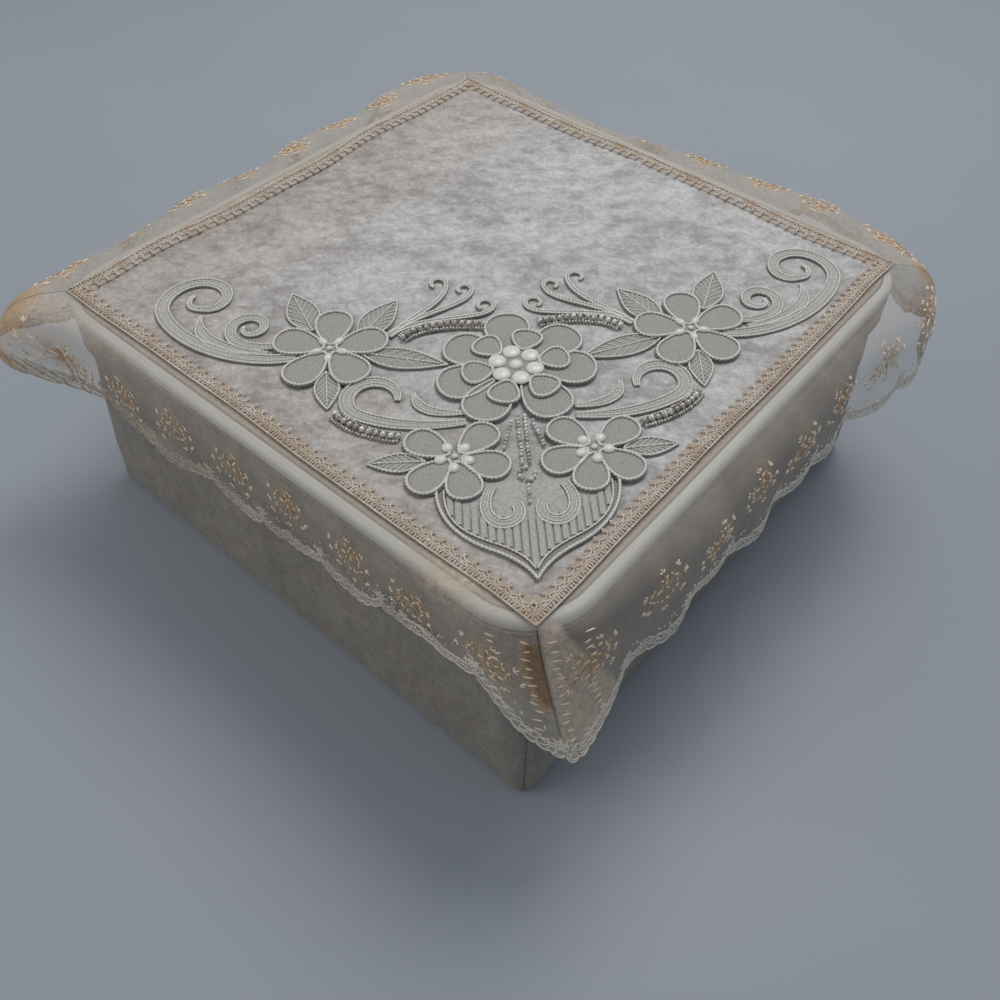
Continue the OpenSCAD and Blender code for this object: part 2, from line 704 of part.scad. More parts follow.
module volutes() {
    color(cord_colour) on_lid(motif_z) both_sides() {
        band(volute_path, unit * [5, 8.5]);
        linear_extrude(cord_h) strip(crescent_path, unit * [2.5, 7.5]);
    }
}

module inner_volutes() {
    color(cord_colour) on_lid(motif_z) both_sides() band(inner_volute_path, unit * [4.5, 5.5]);
}

module plumes() {
    color(cord_colour) on_lid(motif_z) both_sides() linear_extrude(cord_h)
        for (path = [upper_plume_path, middle_plume_path, lower_plume_path])
            strip(path, thin_cord);
}

module lower_scrolls() {
    color(cord_colour) on_lid(motif_z) both_sides() {
        band(lower_scroll_path, unit * [5, 7.5]);
        linear_extrude(cord_h) strip(lower_hook_path, unit * [3, 5.5]);
    }
}

module bead_bands() {
    color(cord_colour) at_drawing(motif_z) for (path = bead_paths) bead_rows(path);
}

module stalks() {
    color(cord_colour) at_drawing(motif_z) {
        for (path = stalk_paths) bead_rows(path);
        beads([for (a = even_angles(7, 90)) sewn(polar(bead_ring_at, bead_ring_r, a), 1)]);
        beads([for (p = even(short_stalk, bead_pitch)) sewn(p, 1)]);
    }
}

module foot_curls() {
    color(cord_colour) on_lid(motif_z) both_sides() linear_extrude(cord_h)
        strip(foot_curl_path, unit * [4, 6]);
}

// Lowest point of a stripe, just short of the fan's inner line
function stripe_foot(x) =
    let (below = [for (i = [1 : len(fan_line) - 1])
        if (fan_line[i][0] <= x && fan_line[i - 1][0] >= x)
            lookup(x, [fan_line[i], fan_line[i - 1]])])
    below[0] + cord_w;

module fan() {
    color(cord_colour) on_lid(motif_z) {
        both_sides() linear_extrude(cord_h) strip(fan_edge, [cord_w, cord_w]);
        linear_extrude(cord_h)
            polygon([for (a = [0 : 20 : 340]) polar(fan_tip, cord_w * 0.75, a)]);
        both_sides() linear_extrude(fill_t) strip(fan_line, [cord_w / 2, cord_w / 2]);
        for (i = [-fan_stripes : fan_stripes]) {
            // The middle stripe ends above the place where the two lines meet
            x = max(abs(i) * fan_stripe_pitch, fan_line[len(fan_line) - 1][0] * 1.03);
            top = x < fan_shoulder_x ? fan_stripe_top : fan_shoulder_top;
            foot = stripe_foot(x);
            if (top - foot > cord_w) translate([i * fan_stripe_pitch - cord_w / 4, foot, 0])
                cube([cord_w / 2, top - foot, fill_t]);
        }
    }
}

base_cover();
base_board();
tub();
velvet_front();
velvet_back();
velvet_left();
velvet_right();
lid_shell();
velvet_top();
braid_front();
braid_back();
braid_left();
braid_right();
lace_front();
lace_back();
lace_left();
lace_right();
applique_net();
middle_flower();
middle_inner_petals();
pearls();
side_flowers();
lower_flowers();
leaves();
volutes();
inner_volutes();
plumes();
lower_scrolls();
bead_bands();
stalks();
foot_curls();
fan();
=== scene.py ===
"""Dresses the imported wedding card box: crushed velvet, a tulle lace flounce,
a braid border, a corded applique with beads and pearls, and the lid's plastic rim."""
from math import ceil, cos, pi, radians, sin, sqrt

import bpy
import numpy as np
from mathutils import Matrix, Vector


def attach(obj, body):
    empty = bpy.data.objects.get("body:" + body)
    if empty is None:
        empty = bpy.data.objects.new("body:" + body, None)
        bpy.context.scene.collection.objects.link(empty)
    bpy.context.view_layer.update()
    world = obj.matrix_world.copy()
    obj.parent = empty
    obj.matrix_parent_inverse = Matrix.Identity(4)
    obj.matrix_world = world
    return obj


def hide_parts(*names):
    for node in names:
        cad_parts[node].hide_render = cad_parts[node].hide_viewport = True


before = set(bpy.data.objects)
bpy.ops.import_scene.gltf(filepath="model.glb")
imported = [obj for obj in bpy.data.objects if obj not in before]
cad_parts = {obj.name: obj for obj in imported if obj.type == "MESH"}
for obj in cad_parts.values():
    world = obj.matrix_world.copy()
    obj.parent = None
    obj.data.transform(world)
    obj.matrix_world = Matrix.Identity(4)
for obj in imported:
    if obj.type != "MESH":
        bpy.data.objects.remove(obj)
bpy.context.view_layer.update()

SCENE = bpy.context.scene
SCENE.view_settings.view_transform = "Standard"
vary = np.random.default_rng(11).uniform      # the same draws in each run

MM = 0.001
# Sizes of the frame, in millimetres
HALF = 200.0          # half of the lid's width
CORNER_R = 43.0
BAND_ROUND = 3.5      # the rounding of the lid's top edge
LACE_IN = 16.0        # the lace's heading, in from the lid's outer face
LACE_Z = 168.1
BRAID_Z = 169.2
PANEL_HALF, PANEL_R, PANEL_Z = 183.6, 13, 167.75
COVER_HALF = 196.8
COVER_TOP = 158.0
SKIRT_FOOT = 139.5    # the lower edge of the lid's skirt
LID_H = 28.0
COVER_TOP_R = 40.8
COVER_BASE_R = 8.0
FOOT_TURN = 3.0       # how far the cover turns in at the box's foot
FOOT_H = 4.9
TURNS = {"right": 0, "back": 90, "left": 180, "front": 270}


def linked(name, data):
    """A new object of the scene."""
    obj = bpy.data.objects.new(name, data)
    SCENE.collection.objects.link(obj)
    return obj


# ---- Camera and lamps, solved from the photograph's rim and base edges ----

CAMERA_PLACE = (0.33108, -0.39503, 0.55128)
CAMERA_LOOK = (-0.4079, 0.5052, -0.7605)
CAMERA_ROLL = radians(1.849)

camera = linked("camera", bpy.data.cameras.new("camera"))
camera.data.lens = 34.919
camera.data.sensor_width = 36
camera.data.clip_start = 0.01
look = Vector(CAMERA_LOOK).normalized()
level = look.cross(Vector((0, 0, 1))).normalized()
right = cos(CAMERA_ROLL) * level + sin(CAMERA_ROLL) * level.cross(look)
up = right.cross(-look).normalized() * -1
turn = Matrix((right, up, -look)).transposed().to_4x4()
camera.matrix_world = Matrix.Translation(CAMERA_PLACE) @ turn
SCENE.camera = camera

for name, place, size, watts, colour in (
        ("key_lamp", (-0.25, 0.9, 1.9), 1.1, 21, (1, 0.98, 0.95)),
        ("fill_lamp", (-1.0, -1.3, 1.1), 1.2, 7, (1, 0.95, 0.88))):
    lamp = linked(name, bpy.data.lights.new(name, "AREA"))
    lamp.data.shape = "DISK"
    lamp.data.size = size
    lamp.data.energy = watts
    lamp.data.color = colour
    lamp.location = place
    aim = Vector((0, 0, 0.1)) - Vector(place)
    lamp.rotation_euler = aim.to_track_quat("-Z", "Y").to_euler()

SCENE.world = bpy.data.worlds.new("studio")
SCENE.world.use_nodes = True
backdrop = SCENE.world.node_tree.nodes["Background"]
backdrop.inputs["Color"].default_value = (0.83, 0.9, 1, 1)
backdrop.inputs["Strength"].default_value = 0.35


# ---- Node materials ----

def rgb(red, green, blue):
    """A linear colour from one given as 0 to 255 on a screen."""
    def linear(v):
        v /= 255
        return v / 12.92 if v <= 0.04045 else ((v + 0.055) / 1.055) ** 2.4
    return linear(red), linear(green), linear(blue), 1


class Nodes:
    """A short way to write a material's nodes. Its colours run from 0 to 255."""

    def __init__(self, name, roughness=0.6, specular=0.5, **shader):
        self.material = bpy.data.materials.new(name)
        self.material.use_nodes = True
        self.tree = self.material.node_tree
        self.shader = self.tree.nodes["Principled BSDF"].inputs
        self.coords = self.tree.nodes.new("ShaderNodeTexCoord")
        self.place = self.mapped()
        self.shader["Roughness"].default_value = roughness
        self.shader["Specular IOR Level"].default_value = specular
        for socket, value in shader.items():
            self.shader[socket.replace("_", " ").title()].default_value = value

    def put(self, socket, source):
        """source, a number, a colour or another node's output, goes into socket."""
        if isinstance(source, bpy.types.NodeSocket):
            self.tree.links.new(source, socket)
        elif source is not None:
            socket.default_value = rgb(*source) if socket.type == "RGBA" else source

    def node(self, kind, inputs, out=0, **settings):
        """The output of a new node with these settings and inputs."""
        node = self.tree.nodes.new("ShaderNode" + kind)
        for key, value in settings.items():
            setattr(node, key, value)
        for key, source in inputs.items():
            self.put(node.inputs[key], source)
        return node.outputs[out]

    def mapped(self, stretch=(1, 1, 1), turn=0.0, kind="Object"):
        """Coordinates in which a pattern is stretched, along axes turned about Z."""
        return self.node("Mapping", {
            "Vector": self.coords.outputs[kind], "Scale": stretch,
            "Rotation": (0, 0, radians(turn))}, vector_type="TEXTURE")

    def noise(self, scale, detail=3, rough=0.55, distort=0.0, place=None):
        return self.node("TexNoise", {
            "Vector": place or self.place, "Scale": scale, "Detail": detail,
            "Roughness": rough, "Distortion": distort}, "Fac")

    def voronoi(self, scale, out="Distance", randomness=1.0, place=None, **settings):
        return self.node("TexVoronoi", {
            "Vector": place or self.place, "Scale": scale, "Randomness": randomness},
            out, **settings)

    def ramp(self, value, *stops):
        """Colours, or greys given as numbers, at their places from 0 to 1."""
        node = self.tree.nodes.new("ShaderNodeValToRGB")
        self.put(node.inputs["Fac"], value)
        elements = node.color_ramp.elements
        while len(elements) < len(stops):
            elements.new(0.5)
        for element, (place, colour) in zip(elements, stops):
            element.position = place
            element.color = rgb(*colour) if isinstance(colour, tuple) else (colour,) * 3 + (1,)
        return node.outputs["Color"]

    def mix(self, factor, a, b, blend="MIX"):
        return self.node("Mix", {"Factor": factor, 6: a, 7: b}, 2,
                         data_type="RGBA", blend_type=blend)

    def maths(self, operation, a, b=None, clamp=False):
        return self.node("Math", {0: a, 1: b}, operation=operation, use_clamp=clamp)

    def add(self, a, b, clamp=False):
        return self.maths("ADD", a, b, clamp)

    def times(self, a, b):
        return self.maths("MULTIPLY", a, b)

    def axis(self, name):
        return self.node("SeparateXYZ", {"Vector": self.place}, name)

    def attribute(self, name):
        return self.node("Attribute", {}, "Fac", attribute_name=name)

    def colour(self, source):
        self.put(self.shader["Base Color"], source)

    def bump(self, height, distance, strength=1.0, under=None):
        normal = self.node("Bump", {
            "Distance": distance, "Strength": strength, "Height": height, "Normal": under})
        self.put(self.shader["Normal"], normal)
        return normal


def velvet_material(name, tones, stretch, turn, sheen, worn=0.0):
    """Crushed velvet: short streaks of flattened pile, thicker in some patches. Where
    it is worn, the pile is greyer and more beige towards the front and left edges."""
    n = Nodes(name, 0.62, 0.25, sheen_weight=sheen, sheen_roughness=0.4)
    place = n.mapped(stretch, turn)
    patches = n.noise(27, 3, 0.6, 0.8, place)
    streaks = n.noise(120, 5, 0.7, 0.4, place)
    pile = n.noise(330, 4, 0.8)
    tone = n.add(n.times(patches, 0.38), n.times(streaks, 0.62))
    colour = n.mix(0.85, n.ramp(tone, *zip((0.4, 0.48, 0.6), tones)),
                   n.ramp(pile, (0.36, 0.78), (0.62, 1.12)), "MULTIPLY")
    if worn:
        front, left = (n.ramp(n.times(n.axis(axis), -5), (start, 0.0), (0.9, most))
                       for axis, start, most in (("Y", 0.35, worn), ("X", 0.3, 1.5 * worn)))
        colour = n.mix(n.maths("MAXIMUM", front, left), colour, (222, 206, 194), "MULTIPLY")
    n.colour(colour)
    n.bump(pile, 0.0004, 0.5, n.bump(streaks, 0.0014, 0.5))
    return n.material


def clouded(name, dark, light, scale, detail, roughness, **shader):
    """Nodes of a surface whose colour drifts between two, and its drift."""
    n = Nodes(name, roughness, **shader)
    cloud = n.noise(scale, detail)
    n.colour(n.mix(cloud, dark, light))
    return n, cloud


def tub_material():
    n, cloud = clouded("moulded_plastic", (196, 203, 199), (184, 190, 185), 22, 3, 0.38)
    n.put(n.shader["Roughness"], n.ramp(cloud, (0.3, 0.38), (0.7, 0.5)))
    n.bump(n.noise(900, 2), 0.00015, 0.4)
    return n.material


def board_material():
    n, _ = clouded("grey_board", (150, 139, 120), (176, 165, 146), 180, 4, 0.85)
    n.bump(n.noise(700, 2), 0.0003, 0.5)
    return n.material


def lid_material():
    """The lid's plastic: a pale band round its top between two grooves painted dark as shade, a
    beige ledge inside it edged by painted shadow lines, and a skirt painted greyer as shade."""
    n = Nodes("moulded_plastic_lid", 0.42)
    # Height as a share, from the skirt's foot up
    share = n.maths("DIVIDE", n.maths("SUBTRACT", n.axis("Z"), SKIRT_FOOT * MM), LID_H * MM)
    # Painted shade by height: the skirt is coloured darker than the top band, darkest at its foot,
    # and the two grooves are painted as dark lines.
    tone = n.ramp(share, (0, (126, 119, 111)), (0.56, (140, 133, 125)), (0.59, (62, 58, 52)),
                  (0.62, (62, 58, 52)), (0.65, (158, 154, 147)), (0.71, (166, 163, 157)),
                  (0.73, (52, 49, 44)), (0.765, (58, 54, 49)), (0.79, (184, 186, 181)),
                  (0.86, (204, 208, 205)))
    # Distance out from the lid's middle, measured to the rounded square
    flat = (HALF - CORNER_R) * MM
    past = [n.maths("MAXIMUM", n.maths("SUBTRACT", n.maths("ABSOLUTE", n.axis(name)), flat), 0)
            for name in ("X", "Y")]
    out = n.maths("SQRT", n.add(*(n.times(p, p) for p in past)))
    # The beige ledge, with painted shadow lines along the inner and outer edges of the white top
    # band.
    ledge = n.ramp(n.maths("DIVIDE", out, CORNER_R * MM), (0.78, (168, 154, 142)),
                   (0.81, (176, 163, 151)), (0.825, (84, 79, 72)), (0.845, (96, 92, 86)),
                   (0.86, 1.0), (0.9, 1.0), (0.908, 0.22), (0.917, 1.0))
    n.colour(n.mix(0.1, n.mix(1.0, tone, ledge, "DARKEN"),
                   n.mix(n.noise(22, 3), (120, 116, 108), (210, 210, 204))))
    n.bump(n.noise(900, 2), 0.00015, 0.4)
    return n.material


def tulle_material():
    """A fine net: threads round small cells, paler where it is doubled or sewn over,
    and browner behind the embroidery."""
    n = Nodes("tulle_net", 0.75, 0.2)
    edge = n.voronoi(1 / 1.3, "Distance", 0.5, n.mapped(turn=35, kind="UV"),
                     feature="DISTANCE_TO_EDGE", voronoi_dimensions="2D")
    thread = n.ramp(edge, (0.06, 1.0), (0.15, 0.0))
    dense, veil = n.attribute("dense"), n.attribute("veil")
    haze = n.ramp(n.noise(45, 2), (0.3, 0.19), (0.7, 0.29))
    speckle = n.ramp(n.noise(320, 3, 0.7), (0.38, 0.55), (0.62, 1.25))
    cover = n.add(n.times(thread, 0.11), haze)
    cover = n.add(cover, n.times(n.times(dense, 0.6), speckle))
    cover = n.add(cover, n.times(n.times(veil, 0.5), speckle), True)
    n.colour(n.ramp(dense, (0.0, (204, 194, 181)), (0.22, (208, 189, 168)),
                    (0.55, (196, 166, 132)), (0.9, (150, 122, 94))))
    n.put(n.shader["Alpha"], cover)
    return n.material


def thread_nodes(name, roughness, grain=900, **shader):
    """A thread's nodes, and a maker of its fine strands in two colours."""
    n = Nodes(name, roughness, **shader)
    strands = n.noise(grain, 3, 0.7)
    n.bump(strands, 0.0003, 0.6)
    return n, lambda dark, light: n.ramp(strands, (0.35, dark), (0.62, light))


def thread_material(name, dark, light, roughness=0.55, grain=900, glint=0.0):
    n, strands = thread_nodes(name, roughness, grain, sheen_weight=0.3, metallic=glint)
    n.colour(strands(dark, light))
    return n.material


def stained_thread(name, dark, light, stain, spread):
    """Thread whose colour drifts towards a stain, in patches as wide as spread, in metres."""
    n, strands = thread_nodes(name, 0.6, sheen_weight=0.25)
    patches = n.ramp(n.noise(1 / spread, 3, 0.6), (0.42, 0.0), (0.62, 0.85))
    n.colour(n.mix(patches, strands(dark, light), stain))
    return n.material


def hem_material():
    """The hem's thread: painted darker and tan as shade at the left of the front side, and whiter
    towards the front corner.
    """
    n, strands = thread_nodes("hem_thread", 0.6)
    # Painted shade: the thread's colour darkens towards -X, where the hem hangs in shade.
    across = n.add(n.times(n.axis("X"), 2.0), 0.5)
    n.colour(n.mix(n.ramp(across, (0.1, 0.0), (0.85, 1.0)),
                   strands((164, 146, 124), (196, 178, 156)),
                   strands((204, 196, 182), (244, 239, 229))))
    return n.material


def fill_material(name, dark, light, turn, glint):
    """The embroidered filling: fine stitches with scattered glitter, its specks painted near-white
    as glints.
    """
    n = Nodes(name)
    grain = n.noise(900, 2, 0.7)
    stitches = n.node("TexWave", {"Vector": n.mapped(turn=turn), "Scale": 420,
                                  "Distortion": 1.5}, "Fac", bands_direction="X")
    # Painted glints: the glitter's specks are mixed towards near-white in the colour.
    glitter = n.ramp(n.voronoi(800), (0.0, 1.0), (0.2, 0.0))
    tone = n.mix(0.35, n.ramp(grain, (0.35, dark), (0.65, light)), n.mix(stitches, dark, light))
    n.colour(n.mix(n.times(glitter, glint), tone, (240, 238, 230)))
    n.bump(n.add(stitches, grain), 0.0003, 0.6)
    return n.material


def bead_material():
    n = Nodes("silver_lined_bead", 0.16, metallic=0.2, coat_weight=0.6)
    n.colour(n.ramp(n.voronoi(260, "Color"), (0.2, (164, 158, 149)), (0.8, (230, 227, 220))))
    n.bump(n.noise(900, 1), 0.0002, 0.5)
    return n.material


top_velvet = velvet_material("crushed_velvet_top", (
    (163, 160, 158), (183, 181, 179), (205, 204, 203)), (1.5, 1, 1), 45, 0.3, 0.45)
# Painted shade: the walls' velvet is the top's crushed velvet in darker tones, standing in for the
# shade on the upright walls.
wall_velvet = velvet_material("crushed_velvet_wall", (
    (135, 127, 117), (142, 134, 125), (150, 143, 133)), (1, 1, 1.6), 0, 0.15)
tulle = tulle_material()
hem_thread = hem_material()
cream_thread = thread_material("cream_thread", (228, 202, 172), (252, 236, 212))
gold_thread = thread_material("gold_brown_thread", (176, 134, 92), (214, 178, 132))
silver_cord = thread_material("silver_cord", (176, 173, 166), (236, 234, 228), 0.4, 1400, 0.1)
# Painted shadow: the net's dark tones round the cords are partly the real net and partly the shade
# under the raised cords and between the beads.
outline_net_and_painted_shadow = thread_material("outline_net_and_painted_shadow", (126, 120, 113), (152, 146, 139), 0.6, 1200)
braid_thread = stained_thread("braid_thread", (192, 178, 162), (232, 221, 208),
                              (192, 168, 144), 0.013)
braid_base = stained_thread("braid_base", (160, 151, 142), (182, 174, 166), (172, 153, 134), 0.02)
net_fill = fill_material("applique_net_fill", (146, 142, 137), (184, 180, 175), 50, 0.6)
satin_fill = fill_material("applique_satin_fill", (158, 154, 148), (206, 203, 198), 10, 0.4)
glass_bead = bead_material()
pearl_coat = clouded("pearl", (206, 202, 194), (236, 233, 226), 260, 2, 0.42,
                     coat_weight=0.2, sheen_weight=0.3)[0].material
floor_paint = clouded("table_top", (150, 157, 165), (158, 164, 171), 3, 2, 0.55)[0].material

# ---- Mesh helpers ----

UP = np.array([0.0, 0.0, 1.0])


class Shape:
    """Points in millimetres and faces, gathered from many small forms."""

    def __init__(self, grid=None):
        self.points, self.faces, self.count = [], [], 0
        if grid is not None:
            self.cells(grid)

    def add(self, points, *blocks):
        """Points, with blocks of faces that count from the first of them."""
        points = np.asarray(points, float).reshape(-1, 3)
        self.points.append(points)
        self.faces += [block + self.count for block in blocks]
        self.count += len(points)

    def cells(self, grid, closed=False, way=1):
        """A grid of points, rows by columns, as quads. Its rows may be closed to
        rings, and its faces turned over with -1 as their way."""
        self.add(grid, grid_faces(*grid.shape[:2], False, closed)[:, ::way])

    def piece(self, name, material, body, slot, replaces=(), smooth=True):
        mesh = bpy.data.meshes.new(name)
        points = np.concatenate(self.points) * MM
        faces = [face for block in self.faces for face in block.tolist()]
        mesh.from_pydata(points.tolist(), [], faces)
        if smooth:
            mesh.polygons.foreach_set("use_smooth", [True] * len(mesh.polygons))
        mesh.materials.append(material)
        obj = linked(name, mesh)
        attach(obj, body)
        if replaces:
            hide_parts(*replaces)
        return obj


def grid_faces(rows, cols, close_rows=False, close_cols=False):
    i, j = (v.ravel() for v in np.meshgrid(
        np.arange(rows - (not close_rows)), np.arange(cols - (not close_cols)), indexing="ij"))
    i2, j2 = (i + 1) % rows, (j + 1) % cols
    return np.stack([i * cols + j, i * cols + j2, i2 * cols + j2, i2 * cols + j], 1)


def unit_rows(v):
    return v / np.maximum(np.linalg.norm(v, axis=-1, keepdims=True), 1e-9)


def run_of(path):
    """Distance run along a path at each of its points."""
    return np.concatenate([[0], np.cumsum(np.linalg.norm(np.diff(path, axis=0), axis=1))])


def resampled(path, step, closed=False):
    """The path again with its points about a step apart."""
    path = np.asarray(path, float)
    if closed:
        path = np.concatenate([path, path[:1]])
    run = run_of(path)
    count = max(3, int(round(run[-1] / step)))
    at = np.linspace(0, run[-1], count + 1)
    out = np.stack([np.interp(at, run, column) for column in path.T], 1)
    return out[:-1] if closed else out


def tube(shape, path, radius, sides=6, closed=False, normal=UP, twist=0.0, depth=0.22):
    """A round cord along a path. twist is the pitch of its two strands, in millimetres,
    and depth the share of its radius by which they stand out."""
    tangent = unit_rows(np.roll(path, -1, 0) - np.roll(path, 1, 0) if closed
                        else np.gradient(path, axis=0))
    side = unit_rows(np.cross(tangent, normal))
    above = np.cross(side, tangent)
    angle = np.arange(sides) * 2 * pi / sides
    r = np.full((len(path), sides), float(radius))
    if twist:
        r *= 1 + depth * np.cos(2 * angle - 2 * pi * run_of(path)[:, None] / twist)
    ring = side[:, None] * np.cos(angle)[:, None] + above[:, None] * np.sin(angle)[:, None]
    faces = [grid_faces(len(path), sides, closed, True)]
    if not closed:
        end = np.arange(sides)[None]
        faces += [end[:, ::-1], end + (len(path) - 1) * sides]
    shape.add(path[:, None] + ring * r[:, :, None], *faces)


def ball(shape, centre, radius, sides=8, rings=6):
    theta = np.linspace(0, pi, rings + 1)[1:-1]
    phi = np.arange(sides) * 2 * pi / sides
    ring = np.stack([np.outer(np.sin(theta), np.cos(phi)), np.outer(np.sin(theta), np.sin(phi)),
                     np.outer(np.cos(theta), np.ones(sides))], -1)
    points = np.concatenate([ring.reshape(-1, 3), [UP, -UP]]) * radius
    j, j2 = np.arange(sides), np.roll(np.arange(sides), -1)
    top, low, last = (rings - 1) * sides, (rings - 1) * sides + 1, (rings - 2) * sides
    shape.add(points + centre, grid_faces(rings - 1, sides, False, True)[:, ::-1],
              np.stack([np.full(sides, top), j, j2], 1),
              np.stack([np.full(sides, low), last + j2, last + j], 1))


def stitch(shape, start, end, width, normal, height=0.5):
    """One long satin stitch, thick in its middle and pointed at its ends."""
    along = end - start
    side = unit_rows(np.cross(along, normal))
    share = np.array([0, 0.22, 0.5, 0.78, 1.0])[:, None, None]
    swell = np.array([0.12, 0.85, 1.0, 0.85, 0.12])[:, None, None]
    angle = np.radians([0, 60, 120, 180, 270])[:, None]
    ring = side * np.cos(angle) * width / 2 + normal * np.sin(angle) * height
    shape.cells(start + along * share + ring * swell, True)


def hills(x, y, scale, seed):
    """Smooth bumps over the plane, about as wide as scale and from -1 to 1."""
    rng = np.random.default_rng(seed)
    total = np.zeros_like(x, float)
    for _ in range(7):
        a = rng.uniform(0, 2 * pi)
        k = rng.uniform(0.6, 1.7) / scale
        total += np.sin(2 * pi * k * (x * cos(a) + y * sin(a)) + rng.uniform(0, 6.28))
    return total / 3.6


def rise(x, start, end):
    """0 up to start and 1 from end on, evenly between them. end may be the lower one."""
    return np.clip((x - start) / (end - start), 0, 1)


def bell(x, width):
    """1 at x = 0, and falling away smoothly on both sides."""
    return np.exp(-(x / width) ** 2)


def smooth(t):
    return t * t * (3 - 2 * t)


def placed(base, degrees, x, y):
    """Points of a flat drawing, turned and moved to its base."""
    t = radians(degrees)
    return base + np.stack([x * cos(t) - y * sin(t), x * sin(t) + y * cos(t)], 1)


# ---- Sides of the lid ----

def turned(points, degrees):
    """Points of the +X side turned to another side."""
    a = radians(degrees)
    c, s = round(cos(a), 9), round(sin(a), 9)
    x, y, z = np.moveaxis(np.asarray(points, float), -1, 0)
    return np.stack([x * c - y * s, x * s + y * c, z], -1)


def side_point(share, half, r):
    """x, y and outward angle of a point of the rounded +X side."""
    straight = half - r
    a = np.abs(share) * (straight + r * pi / 4)
    bend = np.maximum(0, (a - straight) / r)
    sign = np.where(share < 0, -1, 1)
    return (straight + r * np.cos(bend), sign * (np.minimum(a, straight) + r * np.sin(bend)),
            sign * bend)


# ---- Velvet cover ----

def cover_radius(z):
    """Radius of the cover's corners at a height."""
    return COVER_BASE_R + (COVER_TOP_R - COVER_BASE_R) * np.minimum(1, z / SKIRT_FOOT)


def cover_side(name):
    shares = np.linspace(-0.9995, 0.9995, 121)
    levels = np.concatenate([[0.3, 0.8, 1.8, 3.2, FOOT_H], np.linspace(9, COVER_TOP, 46)])
    share, z = np.meshgrid(shares, levels)
    # Even spacing on the flat and enough points on the corner
    flat, reach, r = 0.85, np.abs(share), cover_radius(z)
    edge = (COVER_HALF - r) / (COVER_HALF - r + r * pi / 4)
    warp = np.where(reach < flat, reach / flat * edge,
                    edge + (1 - edge) * (reach - flat) / (1 - flat))
    x, y, a = side_point(np.sign(share) * warp * 0.9995, COVER_HALF, r)
    # Slack in the cloth: soft waves that stand out from the tub, none at the seams
    calm = rise(reach, 1, 0.88) * rise(z, 0, 25) * rise(z, SKIRT_FOOT - 2, SKIRT_FOOT - 24)
    u = y + HALF * (TURNS[name] / 45)
    wave = hills(u, z * 1.6, 95, 3) + 0.35 * hills(u * 1.5, z, 34, 5)
    slack = calm * (1.1 + 1.5 * wave + 0.12 * hills(u, z, 9, 8))
    seam = 0.7 * bell(1 - reach, 0.012)
    push = np.maximum(slack, -0.6) - seam - FOOT_TURN * np.maximum(0, 1 - z / FOOT_H) ** 2
    shape = Shape(turned(np.stack([x + push * np.cos(a), y + push * np.sin(a), z], -1),
                         TURNS[name]))
    # The rolled edge under the lid
    x, y, z, a = x[-1], y[-1], z[-1], a[-1]
    edge = np.stack([x - 0.4 * np.cos(a), y - 0.4 * np.sin(a), z - 0.9], -1)
    tube(shape, turned(edge, TURNS[name]), 0.95)
    return shape.piece("cover_" + name, wall_velvet, "box", "wall_velvet", ["velvet_" + name])


for side in TURNS:
    wall = cover_side(side)


def seams():
    """The sewn corner seams of the cover, each a row of small stitches in a shallow groove."""
    shape = Shape()
    for degrees in TURNS.values():
        for z in np.arange(6, SKIRT_FOOT - 3, 3.4):
            r = cover_radius(z)
            d = COVER_HALF - r + r * sqrt(0.5) - 0.55
            start, end, out = turned([[d, d, z], [d, d, z + 2.3], [0.7071, 0.7071, 0]], degrees)
            stitch(shape, start, end, 0.7, out, 0.35)
    return shape.piece("cover_seam_stitches", wall_velvet, "box", "wall_velvet")


seams()


def rounded_grid(half, r, count):
    """A grid of x, y over a rounded square."""
    t = np.linspace(-half, half, count)
    x, y = np.meshgrid(t, t)
    # Pull the grid's corners onto the arc
    flat = half - r
    past_x, past_y = np.maximum(np.abs(x) - flat, 0), np.maximum(np.abs(y) - flat, 0)
    long = np.maximum(np.hypot(past_x, past_y), 1e-9)
    shrink = np.where((past_x > 0) & (past_y > 0), np.maximum(past_x, past_y) / long, 1)
    return [np.sign(v) * np.where(past > 0, flat + past * shrink, np.abs(v))
            for v, past in ((x, past_x), (y, past_y))]


def cover_base():
    x, y = rounded_grid(COVER_HALF - 1.5 - FOOT_TURN - 0.2, COVER_BASE_R, 60)
    shape = Shape(np.stack([x, y, 0.35 + 0.25 * hills(x, y, 70, 21)], -1)[:, ::-1])
    return shape.piece("cover_base", wall_velvet, "box", "wall_velvet", ["base_cover"])


cover_base()


# ---- Velvet panel on the lid ----

def panel_height(x, y):
    """Top of the velvet panel above its bed: flat, with a few low creases."""
    z = 0.32 * hills(x, y, 120, 31) + 0.2 * hills(x, y, 38, 32)
    # A crease from the middle of the back edge, with a hollow beside it
    line = x + 20 - 10 * np.sin((y - 110) / 60)
    z = z + (1.5 * bell(line, 5) - 0.7 * bell(line - 8, 4)) * rise(y, 45, 90)
    # One across the left side
    line = y + 100 + 0.22 * (x + 120)
    z = z + (1.4 * bell(line, 4) - 0.6 * bell(line + 7, 4)) * rise(-x, 70, 110)
    # One towards the right-hand end of the back edge
    line = y - 95 - 0.5 * (x - 100)
    return z + 0.7 * bell(line, 9) * rise(x, 60, 130)


def velvet_panel():
    x, y = rounded_grid(PANEL_HALF, PANEL_R, 190)
    inside = rise(np.maximum(np.abs(x), np.abs(y)), 184, 170)
    z = PANEL_Z + np.clip(panel_height(x, y) * inside, -0.6, 2)
    shape = Shape(np.stack([x, y, z], -1))
    return shape.piece("velvet_panel", top_velvet, "lid", "top_velvet", ["velvet_top"])


velvet_panel()


# ---- Lace flounce ----

